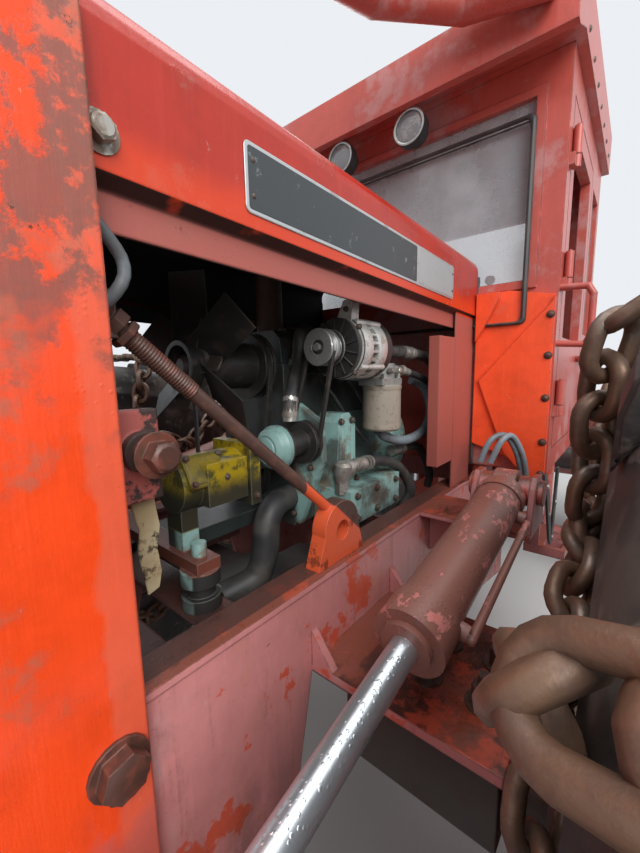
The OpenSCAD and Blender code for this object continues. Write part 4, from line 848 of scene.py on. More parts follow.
def tube(shape, points, radius, sides=12, step=0.012, swell=()):
    """A round tube along a smooth path. Swell lists ferrules and clamps: from, to (shares) and radius."""
    line = smooth_path(points, step)
    lengths = [0.0]
    for a, b in zip(line, line[1:]):
        lengths.append(lengths[-1] + (b - a).length)
    stations = [(d / lengths[-1], p) for d, p in zip(lengths, line)]
    for low, high, _ in swell:
        for share in (low, high):
            for side in (-0.0004, 0.0004):
                stations.append((min(max(share + side, 0), 1), None))
    stations.sort(key=lambda s: s[0])

    def at(share):
        wanted = share * lengths[-1]
        for i in range(len(line) - 1):
            if lengths[i + 1] >= wanted:
                part = (wanted - lengths[i]) / max(lengths[i + 1] - lengths[i], 1e-9)
                return line[i].lerp(line[i + 1], part)
        return line[-1]

    shares = [s for s, _ in stations]
    spots = [at(s) for s in shares]
    rings, across = [], None
    for i, (share, spot) in enumerate(zip(shares, spots)):
        ahead = at(min(share + 0.01, 1)) - at(max(share - 0.01, 0))
        ahead.normalize()
        across = (across - ahead * ahead.dot(across)) if across else ahead.orthogonal()
        across.normalize()
        other = ahead.cross(across)
        r = radius
        for low, high, wide in swell:
            if low <= share <= high:
                r = wide
        turn = [2 * math.pi * k / sides for k in range(sides)]
        rings.append([spot + (across * math.cos(t) + other * math.sin(t)) * r for t in turn])
    return shape.loft(rings)


def linked(name, data):
    """An object of the scene that shows the data."""
    made = bpy.data.objects.new(name, data)
    bpy.context.scene.collection.objects.link(made)
    return made


def piece(name, data, material, slot, body):
    """A finished piece: a mesh at the origin that rides on a body."""
    made = linked(name, data)
    data.materials.clear()
    data.materials.append(material)
    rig.slot(made, slot)
    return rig.ride(made, body)


# Geometry Nodes trees for what repeats


class Tree(Maker):
    """A Geometry Nodes tree with named inputs."""

    def __init__(self, name, inputs):
        self.tree = bpy.data.node_groups.new(name, "GeometryNodeTree")
        face = self.tree.interface
        face.new_socket(name="Geometry", in_out="INPUT", socket_type="NodeSocketGeometry")
        self.keys = {}
        for label, kind in inputs.items():
            made = face.new_socket(name=label, in_out="INPUT", socket_type="NodeSocket" + kind)
            self.keys[label] = made.identifier
        face.new_socket(name="Geometry", in_out="OUTPUT", socket_type="NodeSocketGeometry")
        self.start = self.tree.nodes.new("NodeGroupInput")

    def given(self, label):
        return Socket(self, self.start.outputs[label])

    def shifted(self, geometry, z):
        """The geometry moved along Z."""
        place = self.node("ShaderNodeCombineXYZ", {2: z})
        return self.node("GeometryNodeTransform", {"Geometry": geometry, "Translation": place})

    def joined(self, *parts):
        made = self.tree.nodes.new("GeometryNodeJoinGeometry")
        for part in reversed(parts):
            self.tree.links.new(part.output, made.inputs[0])
        return Socket(self, made.outputs[0])

    def on_points(self, instance):
        """Copies of the instance on the given points, turned by their stored turn."""
        turn = self.node("GeometryNodeInputNamedAttribute", {"Name": "turn"}, data_type="QUATERNION")
        return self.node(
            "GeometryNodeInstanceOnPoints",
            {"Points": self.given("Geometry"), "Instance": instance, "Rotation": turn},
            out="Instances",
        )

    def close(self, geometry):
        real = self.node("GeometryNodeRealizeInstances", {"Geometry": geometry})
        coated = self.node("GeometryNodeSetMaterial", {"Geometry": real, "Material": self.given("Material")})
        end = self.tree.nodes.new("NodeGroupOutput")
        self.tree.links.new(coated.output, end.inputs[0])
        return self

    def grow(self, name, spots, body, values, slot, sharp=SHARP):
        """Runs the tree on spots, (place, direction, side) triples, and keeps a plain mesh."""
        source = linked(name + "_base", spot_mesh(name, spots))
        modifier = source.modifiers.new("grow", "NODES")
        modifier.node_group = self.tree
        for label, value in values.items():
            modifier[self.keys[label]] = value
        data = bpy.data.meshes.new_from_object(source.evaluated_get(bpy.context.evaluated_depsgraph_get()))
        source.modifiers.clear()
        bpy.data.objects.remove(source)
        data.name = name
        smoothed(data, sharp)
        return piece(name, data, values["Material"], slot, body)


def spot_mesh(name, spots):
    """Points that each store the turn of what goes there."""
    data = bpy.data.meshes.new(name + "_spots")
    data.from_pydata([Vector(s[0]) for s in spots], [], [])
    turns = data.attributes.new("turn", "QUATERNION", "POINT")
    for i, (_, direction, side) in enumerate(spots):
        turns.data[i].value = axis_place((0, 0, 0), direction, side).to_quaternion()
    return data


def fastener_tree():
    """A hexagon head with a crown, on a washer, with the thread's end standing out."""
    lengths = ("Head Width", "Head Height", "Washer Width", "Washer Height", "Thread Width", "Thread Height")
    t = Tree("Fastener", {**{label: "Float" for label in lengths}, "Material": "Material"})
    head_w, head_h, washer_w, washer_h, thread_w, thread_h = (t.given(label) for label in lengths)

    def round_part(sides, width, height, low):
        part = t.node("GeometryNodeMeshCylinder", {"Vertices": sides, "Radius": width / 2, "Depth": height}, "Mesh")
        return t.shifted(part, low + height / 2)

    crown = t.node(
        "GeometryNodeMeshCone",
        {"Vertices": 12, "Radius Top": head_w * 0.36, "Radius Bottom": head_w * 0.46, "Depth": head_h * 0.16},
        "Mesh",
    )
    parts = [
        round_part(18, washer_w, washer_h, 0.0),
        round_part(6, head_w, head_h, washer_h),
        t.shifted(crown, washer_h + head_h),
        round_part(12, thread_w, thread_h, washer_h + head_h),
    ]
    return t.close(t.on_points(t.joined(*parts)))


def rivet_tree():
    """A low dome."""
    t = Tree("Rivet", {"Width": "Float", "Height": "Float", "Material": "Material"})
    ball = t.node("GeometryNodeMeshUVSphere", {"Segments": 14, "Rings": 8, "Radius": t.given("Width") / 2}, "Mesh")
    squeeze = t.node("ShaderNodeCombineXYZ", {0: 1.0, 1: 1.0, 2: t.given("Height") / t.given("Width") * 2})
    dome = t.node("GeometryNodeTransform", {"Geometry": ball, "Scale": squeeze})
    return t.close(t.on_points(dome))


def link_tree():
    """A welded chain link, its long side along the spot's X, with a little play at each spot."""
    floats = {label: "Float" for label in ("Length", "Width", "Wire", "Play")}
    t = Tree("Chain link", {**floats, "Sides": "Int", "Seed": "Int", "Material": "Material"})
    wire = t.given("Wire")
    height = t.given("Width") - wire
    size = {"Width": t.given("Length") - wire, "Height": height}
    loop = t.node("GeometryNodeCurvePrimitiveQuadrilateral", size, mode="RECTANGLE")
    fillet = {"Curve": loop, "Radius": height * 0.499, "Count": t.given("Sides") / 2}
    bent = t.node("GeometryNodeFilletCurve", fillet, mode="POLY")
    section = t.node("GeometryNodeCurvePrimitiveCircle", {"Resolution": t.given("Sides"), "Radius": wire / 2})
    link = t.node("GeometryNodeCurveToMesh", {"Curve": bent, "Profile Curve": section})
    placed = t.on_points(link)
    play = t.node("ShaderNodeCombineXYZ", {i: t.given("Play") for i in range(3)})
    low = t.node("ShaderNodeVectorMath", {0: play, "Scale": -1.0}, operation="SCALE")
    limits = {"Min": low, "Max": play, "Seed": t.given("Seed")}
    turn = t.node("FunctionNodeRandomValue", limits, "Value", data_type="FLOAT_VECTOR")
    loose = t.node("GeometryNodeRotateInstances", {"Instances": placed, "Rotation": turn})
    return t.close(loose)


def rib_tree():
    """A flat rib with its length along the spot's X, its thickness along Y and its height along Z."""
    t = Tree("Rib", {"Length": "Float", "Thickness": "Float", "Height": "Float", "Material": "Material"})
    size = t.node("ShaderNodeCombineXYZ", {0: t.given("Length"), 1: t.given("Thickness"), 2: t.given("Height")})
    rib = t.node("GeometryNodeMeshCube", {"Size": size}, "Mesh")
    return t.close(t.on_points(t.shifted(rib, t.given("Height") / 2)))


def copy_tree():
    """Copies of another object on the spots."""
    t = Tree("Copies", {"Piece": "Object", "Material": "Material"})
    info = t.node("GeometryNodeObjectInfo", {"Object": t.given("Piece")}, "Geometry")
    return t.close(t.on_points(info))


TREES = {}


def tree(name):
    """The tree of that name, made once."""
    if name not in TREES:
        TREES[name] = globals()[name + "_tree"]()
    return TREES[name]


def bolts(name, spots, body="front_frame", width=None, washer=1.45, height=0.5, thread=0.0008,
          material="bolt_metal", slot="dark_steel"):
    """Hexagon bolts or nuts of one size. Washer and height are shares of the head's width."""
    wide = width or bpy.context.scene.skidder_sizes.head_width
    values = {
        "Head Width": wide, "Head Height": wide * height,
        "Washer Width": wide * washer, "Washer Height": wide * 0.09,
        "Thread Width": wide * 0.5, "Thread Height": thread, "Material": finish(material),
    }
    return tree("fastener").grow(name, spots, body, values, slot)


def rivets(name, spots, width, height, material="bolt_metal"):
    """Rivets or studs with a low head on the front frame."""
    values = {"Width": width, "Height": height, "Material": finish(material)}
    return tree("rivet").grow(name, spots, "front_frame", values, "dark_steel")


# Pieces

GUARD, HOOD, CAB, COWL = (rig.box(name) for name in ("radiator_guard", "hood", "cab", "cowl"))
HOOD_SIDE, HOOD_FRONT, HOOD_REAR = HOOD[1].x, HOOD[0].y, HOOD[1].y
HOOD_FALL = math.tan(math.radians(1.6))
HOOD_CROWN = 0.039  # from the hood's highest point down to its flat side, at the front


class SKIDDER_OT_stage(Operator):
    """Floor, lights and the camera at the photograph's viewing angle"""

    bl_idname = "skidder.stage"
    bl_label = "Stage"

    eye = (0.89, -2.04, 1.54)
    yaw, pitch, roll = math.radians(39.7), math.radians(-8.3), math.radians(-1.07)
    floor_size = 36.0
    lit, shown = 0.46, 0.90  # strengths of the backdrop for the pieces and for the camera
    # Name, place, target, size and watts
    lights = (
        ("key", (8.5, -6.8, 7.6), (0.2, -1.0, 1.2), 8.0, 1560),
        ("top", (0.5, -1.5, 7.5), (0.2, -1.0, 1.0), 7.0, 300),
        ("back", (-5.0, 5.5, 5.0), (0, 0, 1.2), 5.0, 170),
    )

    def execute(self, context):
        half = self.floor_size / 2
        floor = linked("studio_floor", Shape().box((-half, -half, -0.03), (half, half, 0)).mesh("studio_floor"))
        floor.data.materials.append(finish("studio_floor"))
        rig.stage(floor)
        for light in self.lights:
            self.light(*light)
        self.world(context)
        self.camera(context)
        context.scene.view_settings.view_transform = "Standard"
        return {"FINISHED"}

    def light(self, name, place, target, size, watts):
        lamp = bpy.data.lights.new(name, "AREA")
        lamp.shape, lamp.size, lamp.energy = "SQUARE", size, watts
        linked(name, lamp).matrix_world = axis_place(place, Vector(place) - Vector(target), (1, 0, 0))

    def world(self, context):
        """A white backdrop that lights the scene less than it shows."""
        context.scene.world = bpy.data.worlds.new("studio")
        context.scene.world.use_nodes = True
        maker = Maker()
        maker.tree = context.scene.world.node_tree
        maker.tree.nodes.clear()
        path = maker.node("ShaderNodeLightPath")
        outputs = path.output.node.outputs
        seen = [Socket(maker, outputs[name]) for name in ("Is Camera Ray", "Is Glossy Ray", "Is Transmission Ray")]
        shown = maker.math("MINIMUM", seen[0] + seen[1] + seen[2], 1.0)
        strength = maker.node("ShaderNodeMix", {0: shown, 2: self.lit, 3: self.shown})
        background = maker.node("ShaderNodeBackground", {"Color": (0.93, 0.96, 1.0, 1), "Strength": strength})
        maker.node("ShaderNodeOutputWorld", {"Surface": background})

    def camera(self, context):
        camera = linked("camera", bpy.data.cameras.new("camera"))
        camera.data.lens = context.scene.skidder_sizes.lens
        camera.data.sensor_width = 36
        camera.data.clip_start = 0.02
        yaw, pitch = self.yaw, self.pitch
        ahead = Vector((-math.sin(yaw) * math.cos(pitch), math.cos(yaw) * math.cos(pitch), math.sin(pitch)))
        level = Vector((math.cos(yaw), math.sin(yaw), 0))
        above = level.cross(ahead)
        right = level * math.cos(self.roll) + above * math.sin(self.roll)
        up = above * math.cos(self.roll) - level * math.sin(self.roll)
        camera.matrix_world = Matrix.Translation(self.eye) @ Matrix((right, up, -ahead)).transposed().to_4x4()
        context.scene.camera = camera


NODE_FINISHES = {
    "guard_paint": ("radiator_guard",),
    "hood_paint": ("hood",),
    "frame_paint": ("front_frame", "steps"),
    "cab_paint": ("cab", "cab_roof", "door_left", "door_right", "limb_riser"),
    "cowl_paint": ("cowl",),
    "rear_paint": ("rear_frame", "arch", "fairlead", "winch"),
    "blade_paint": ("blade", "blade_cross_tube"),
    "oily_steel": ("front_axle", "rear_axle", "winch_drum"),
    "engine_paint": ("engine",),
    "engine_parts": ("engine_drive",),
    "brace_paint": ("brace_rod",),
    "rusty_pipe": ("exhaust",),
    "cylinder_paint": ("lift_barrel_left", "lift_barrel_right", "steer_barrel_left", "steer_barrel_right"),
    "chrome": ("lift_rod_left", "lift_rod_right", "steer_rod_left", "steer_rod_right"),
    "rim_paint": ("rim_front_left", "rim_front_right", "rim_rear_left", "rim_rear_right"),
    "radiator_core": ("radiator",),
    "tinted_glass": ("cab_glass",),
    "seat_vinyl": ("seat",),
    "black_plastic": ("controls", "lamps"),
}


class SKIDDER_OT_finishes(Operator):
    """Finishes of the CAD pieces that show as they are"""

    bl_idname = "skidder.finishes"
    bl_label = "Finishes"

    def execute(self, context):
        for name, nodes in NODE_FINISHES.items():
            for node in nodes:
                slots = NODES[node].material_slots
                for slot in slots:
                    slot.material = finish(name)
                if not slots:
                    raise RuntimeError(f"{node} has no material slot")
        return {"FINISHED"}


WHEELS = {
    "front_left": ("wheel_front_left", LEFT),
    "front_right": ("wheel_front_right", RIGHT),
    "rear_left": ("wheel_rear_left", LEFT),
    "rear_right": ("wheel_rear_right", RIGHT),
}
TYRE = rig.box("tyre_rear_left")
TYRE_R, HALF_W = (TYRE[1].z - TYRE[0].z) / 2, (TYRE[1].x - TYRE[0].x) / 2


def wheel_place(name):
    """The wheel's frame: Z along the axle, outwards, and X up."""
    body, side = WHEELS[name]
    return axis_place(JOINTS[body + "_roll"]["pos_m"], (side, 0, 0), UP)


class SKIDDER_OT_tyres(Operator):
    """Four tyres: a carcass with bead, ribs and crown, and bar lugs round it"""

    bl_idname = "skidder.tyres"
    bl_label = "Tyres"

    # How far in from the sidewall and down from the lugs' tops, from the bead to the crown
    section = (
        (0.046, 0.455), (0.033, 0.444), (0.027, 0.428), (0.023, 0.402), (0.016, 0.395), (0.014, 0.382),
        (0.011, 0.360), (0.006, 0.320), (0.0025, 0.270), (0.0012, 0.225), (0.0018, 0.180), (0.0, 0.174),
        (0.0, 0.166), (0.0035, 0.160), (0.009, 0.125), (0.016, 0.100), (0.027, 0.076), (0.044, 0.058),
        (0.065, 0.048), (0.120, 0.043), (0.200, 0.040),
    )

    def execute(self, context):
        lug = self.lug_object()
        count = context.scene.skidder_sizes.lugs
        for name, (body, side) in WHEELS.items():
            place = wheel_place(name)
            half = [(HALF_W - inset, TYRE_R - down) for inset, down in self.section]
            profile = [(-x, r) for x, r in half] + [(0.0, TYRE_R - 0.039)] + [(x, r) for x, r in reversed(half)]
            carcass = Shape().lathe(profile, place, sides=96, closed=True)
            tyre = carcass.piece("tyre_" + name + "_carcass", "tyre_rubber", "tyre_rubber", body, sharp=50)
            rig.replaces(tyre, "tyre_" + name)
            turn = place.to_3x3()
            spots = []
            for half_way in (0, 1):  # the lugs of one side stand between those of the other
                for i in range(count):
                    angle = 2 * math.pi * (i + half_way / 2) / count
                    out = turn @ Vector((math.cos(angle), math.sin(angle), 0))
                    spots.append((place.translation, turn @ Vector((0, 0, 1 - 2 * half_way)), out))
            values = {"Piece": lug, "Material": finish("tyre_rubber")}
            tree("copy").grow("tyre_" + name + "_lugs", spots, body, values, "tyre_rubber")
        bpy.data.objects.remove(lug)
        return {"FINISHED"}

    def lug_object(self):
        """One lug, its tyre's axle along Z and its middle towards X."""
        # Across the tread, both edges round the tyre, top and base below the lugs' tops
        stations = [
            (-0.018, -0.031, 0.033, 0.004, 0.050), (0.06, -0.062, 0.000, 0.0025, 0.050),
            (0.13, -0.090, -0.026, 0.0025, 0.055), (0.20, -0.114, -0.048, 0.0035, 0.062),
            (HALF_W - 0.040, -0.127, -0.059, 0.007, 0.078), (HALF_W - 0.015, -0.132, -0.063, 0.024, 0.100),
            (HALF_W - 0.004, -0.134, -0.066, 0.065, 0.120), (HALF_W - 0.003, -0.133, -0.069, 0.110, 0.128),
        ]
        rings = []
        for across, low, high, top, base in stations:
            ring = []
            for arc, down, spread in ((low, base, -0.010), (low, top, 0.0), (high, top, 0.0), (high, base, 0.010)):
                angle = (arc + spread) / (TYRE_R - 0.01)
                radius = TYRE_R - down
                ring.append((radius * math.cos(angle), radius * math.sin(angle), across))
            rings.append(ring)
        return linked("lug", Shape().loft(rings).mesh("lug", bevel=0.005))


class SKIDDER_OT_chains(Operator):
    """Tyre chains of welded links on the front pair: side rings, cross chains and joining rings"""

    bl_idname = "skidder.chains"
    bl_label = "Tyre chains"

    ring_radius = 0.450
    crosses = 10
    first_cross = math.radians(4)
    pitch = 0.0585
    outer, inner = HALF_W + 0.008, -HALF_W - 0.026

    def execute(self, context):
        sizes = context.scene.skidder_sizes
        for name, detail in (("front_left", 8), ("front_right", 6)):
            body, side = WHEELS[name]
            place = wheel_place(name)
            spots = self.side_ring(place, self.outer, 0.05) + self.side_ring(place, self.inner, 0.80)
            rings = []
            for k in range(self.crosses):
                angle = self.first_cross + 2 * math.pi * k / self.crosses
                spots += self.cross(place, angle)
                for across, twist in ((self.outer - 0.001, 0.02), (self.inner - 0.004, 0.25)):
                    rings.append(self.spot(place, angle, self.ring_radius + 0.002, across, 0.0, twist))
            values = {
                "Length": sizes.link_length, "Width": sizes.link_width, "Wire": sizes.link_wire, "Sides": detail,
                "Play": 0.05, "Seed": 4, "Material": finish("chain_steel"),
            }
            links = tree("link").grow("tyre_chain_" + name, spots, body, values, "chain_steel", sharp=60)
            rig.replaces(links, "tyre_chain_" + name.split("_")[1])
            values.update({"Length": 0.118, "Width": 0.112, "Wire": 0.024})
            values.update({"Sides": detail + 2, "Play": 0.03, "Seed": 9})
            tree("link").grow("chain_rings_" + name, rings, body, values, "chain_steel", sharp=60)
        return {"FINISHED"}

    def spot(self, place, angle, radius, across, lean, twist):
        """A link along the ring's tangent; lean turns its run towards the axle, twist turns it on edge."""
        out = Vector((math.cos(angle), math.sin(angle), 0))
        tangent = Vector((-math.sin(angle), math.cos(angle), 0))
        axle = Vector((0, 0, 1))
        run = tangent * math.cos(lean) + out * math.sin(lean)
        flat = Quaternion(run, twist) @ axle
        turn = place.to_3x3()
        return (place @ (out * radius + axle * across), turn @ flat, turn @ run)

    def side_ring(self, place, across, twist):
        count = 2 * round(math.pi * self.ring_radius / self.pitch)
        twists = (-twist * 0.6, twist)
        return [
            self.spot(place, 2 * math.pi * i / count, self.ring_radius, across, 0.0, twists[i % 2])
            for i in range(count)
        ]

    def cross(self, place, angle):
        """Links over the tread from one side ring to the other."""
        start = self.ring_radius + 0.045
        outline = [
            (self.inner, start), (-HALF_W - 0.024, 0.58), (-HALF_W - 0.022, 0.68), (-HALF_W - 0.012, TYRE_R - 0.045),
            (-HALF_W + 0.006, TYRE_R - 0.010), (-HALF_W + 0.030, TYRE_R + 0.004), (-0.18, TYRE_R + 0.007),
            (0.0, TYRE_R + 0.007), (0.18, TYRE_R + 0.007), (HALF_W - 0.029, TYRE_R + 0.004),
            (HALF_W - 0.006, TYRE_R - 0.025), (HALF_W + 0.006, 0.70), (self.outer, 0.58), (self.outer, start),
        ]
        line = smooth_path([(x, r, 0) for x, r in outline], 0.004)
        lengths = [0.0]
        for a, b in zip(line, line[1:]):
            lengths.append(lengths[-1] + (b - a).length)
        count = round(lengths[-1] / self.pitch)
        axle = Vector((0, 0, 1))
        turn = place.to_3x3()
        made = []
        for k in range(count):
            wanted = lengths[-1] * (k + 0.5) / count
            i = next(j for j in range(len(line) - 1) if lengths[j + 1] >= wanted)
            x, r, _ = line[i]
            ahead = line[i + 1] - line[i]
            lean = 0.060 * (r - self.ring_radius) / (TYRE_R - self.ring_radius)
            turned = angle + (lean + 0.010 * math.sin(3.1 * k + angle * 5)) / r
            out = Vector((math.cos(turned), math.sin(turned), 0))
            tangent = Vector((-math.sin(turned), math.cos(turned), 0))
            run = (axle * ahead.x + out * ahead.y).normalized()
            on_edge = 0.75 if x < -HALF_W + 0.005 else 0.05
            flat = Quaternion(run, on_edge if k % 2 else -on_edge) @ run.cross(tangent)
            made.append((place @ (axle * x + out * r), turn @ flat, turn @ run))
        return made


def hood_z(y, drop):
    """A height on the hood's side, so far below its crown at the front, as it falls to the rear."""
    return HOOD[1].z - HOOD_CROWN - drop - (y - HOOD_FRONT) * HOOD_FALL


class SKIDDER_OT_nameplate(Operator):
    """The blank two-tone nameplate on each side of the hood"""

    bl_idname = "skidder.nameplate"
    bl_label = "Nameplate"

    front, silver, rear = -1.613, -0.998, -0.727
    high, low = 0.083, 0.190

    def execute(self, context):
        out, thick, inset = HOOD_SIDE + 0.0004, 0.0024, 0.0065
        face = out + thick
        for side, label in SIDES:
            self.panel("nameplate_edge_" + label, side, self.front, self.rear, 0.0, out, thick, "plate_silver")
            self.panel("nameplate_dark_" + label, side, self.front, self.silver, inset, face, 0.0009, "plate_dark")
            start = self.silver + 0.002
            self.panel("nameplate_pale_" + label, side, start, self.rear, inset, face, 0.0007, "plate_pale")
            spots = [
                ((side * (out + 0.0026), y, self.height(y, share)), (side, 0, 0), UP)
                for y in (self.front + 0.016, self.rear - 0.012)
                for share in (0.25, 0.75)
            ]
            rivets("nameplate_rivets_" + label, spots, 0.009, 0.003)
        return {"FINISHED"}

    def height(self, y, share):
        return hood_z(y, self.high + (self.low - self.high) * share)

    def panel(self, name, side, front, rear, inset, out, thick, material):
        """A thin plate with rounded corners that follows the hood's fall."""
        width, tall = rear - front - 2 * inset, self.low - self.high - 2 * inset
        outline = rounded_outline(width, tall, 0.010 if inset == 0 else 0.005)
        points = []
        for u, v in outline:
            y = (front + rear) / 2 + u
            points.append((y, hood_z(y, (self.high + self.low) / 2) + v))
        rings = [[(side * x, y, z) for y, z in points] for x in (out, out + thick)]
        Shape().loft(rings).piece(name, material, "dark_steel", bevel=thick * 0.4)


def rounded_outline(width, height, radius, parts=5):
    """(x, y) corners of a rectangle with rounded corners, about its middle."""
    outline = []
    for k, (sx, sy) in enumerate(((1, 1), (-1, 1), (-1, -1), (1, -1))):
        cx, cy = sx * (width / 2 - radius), sy * (height / 2 - radius)
        for i in range(parts + 1):
            angle = math.pi / 2 * (k + i / parts)
            outline.append((cx + radius * math.cos(angle), cy + radius * math.sin(angle)))
    return outline


class SKIDDER_OT_fasteners(Operator):
    """Bolts, nuts and rivets of the frame, guard, hood, cab, wheels and rear"""

    bl_idname = "skidder.fasteners"
    bl_label = "Bolts, nuts and rivets"

    def execute(self, context):
        guard_x = GUARD[1].x
        pad_z = 0.910
        for side, label in SIDES:
            out = (side, 0, 0)
            studs = [((side * x, y, pad_z), UP, (1, 0.3, 0)) for x in (0.60, 0.715) for y in (-1.36, -1.24)]
            bolts("pad_nuts_" + label, studs, width=0.046, washer=1.5, height=0.75, thread=0.024)
            hood = [((side * HOOD_SIDE, -1.828, 1.817), out, (0, 1, 0.4))]
            bolts("hood_bolt_" + label, hood, washer=1.6, material="bright_bolt")
            guard = [((side * guard_x, -1.886, 1.041), out, (0, 1, 0.2))]
            bolts("guard_bolt_" + label, guard, width=0.062, washer=1.25, height=0.34,
                  material="rusty_bolt")
            bracket = [((side * 0.3905, -1.79, 1.43), out, (0, 1, 0))]
            bolts("bracket_nut_" + label, bracket, width=0.044, washer=1.5, height=0.55,
                  material="rusty_bolt")
        self.cab()
        self.wheels()
        self.rear()
        self.blade()
        return {"FINISHED"}

    def cab(self):
        front = CAB[0].y
        edge = [((side * 0.645, COWL[0].y + 0.008, z), (0, -1, 0), (1, 0, 0)) for side, _ in SIDES
                for z in (1.72, 1.58, 1.43, 1.27, 1.15)]
        bolts("cowl_bolts", edge, width=0.019, height=0.35, material="rusty_bolt")
        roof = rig.box("cab_roof")
        spots = []
        for side, _ in SIDES:
            for k in range(7):
                spots.append(((side * roof[1].x, front + 0.05 + k * 0.16, 2.60), (side, 0, 0), (0, 1, 0)))
        rivets("roof_rivets", spots, 0.020, 0.006)
        for side, label in SIDES:
            spots = []
            for z in (1.40, 1.85, 2.25):
                for rise in (0.022, 0.068):
                    spots.append(((side * 0.672, -0.358, z + rise), (side, 0, 0), (0, 1, 0)))
            door = "door_" + label
            bolts("door_hinge_bolts_" + label, spots, door, width=0.020, height=0.4, material="rusty_bolt")

    def wheels(self):
        for name, (body, side) in WHEELS.items():
            place = wheel_place(name)
            turn = place.to_3x3()
            spots = []
            for k in range(10):
                angle = 2 * math.pi * k / 10
                out = Vector((math.cos(angle), math.sin(angle), 0))
                spots.append((place @ (out * 0.150 + Vector((0, 0, -HALF_W + 0.1425))),
                              turn @ (Vector((0, 0, 0.66)) + out * 0.75), turn @ out.orthogonal()))
            bolts("wheel_nuts_" + name, spots, body, width=0.038, washer=1.2, height=0.7, thread=0.02,
                  material="rusty_bolt")

    def rear(self):
        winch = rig.box("winch")
        for side, label in SIDES:
            spots = self.circle((side * 0.3805, 1.24, 1.34), 0.15, 8, 0.0, side)
            bolts("winch_bolts_" + label, spots, "rear_frame", width=0.026, material="rusty_bolt")
        spots = [((side * x, y, winch[0].z + 0.020), UP, ACROSS) for side, _ in SIDES for x in (0.2, 0.1)
                 for y in (1.08, 1.46)]
        bolts("winch_base_bolts", spots, "rear_frame", thread=0.01, material="rusty_bolt")

    def blade(self):
        for side, label in SIDES:
            spots = self.circle((side * 0.560, -1.76, 0.60), 0.068, 4, math.pi / 4, -side)
            bolts("arm_cap_bolts_" + label, spots, "blade", width=0.024, material="rusty_bolt")

    def circle(self, middle, radius, count, first, way):
        """Spots on a circle across the machine's X, all facing one way."""
        x, y, z = middle
        angles = [first + 2 * math.pi * k / count for k in range(count)]
        return [((x, y + radius * math.cos(a), z + radius * math.sin(a)), (way, 0, 0), UP) for a in angles]


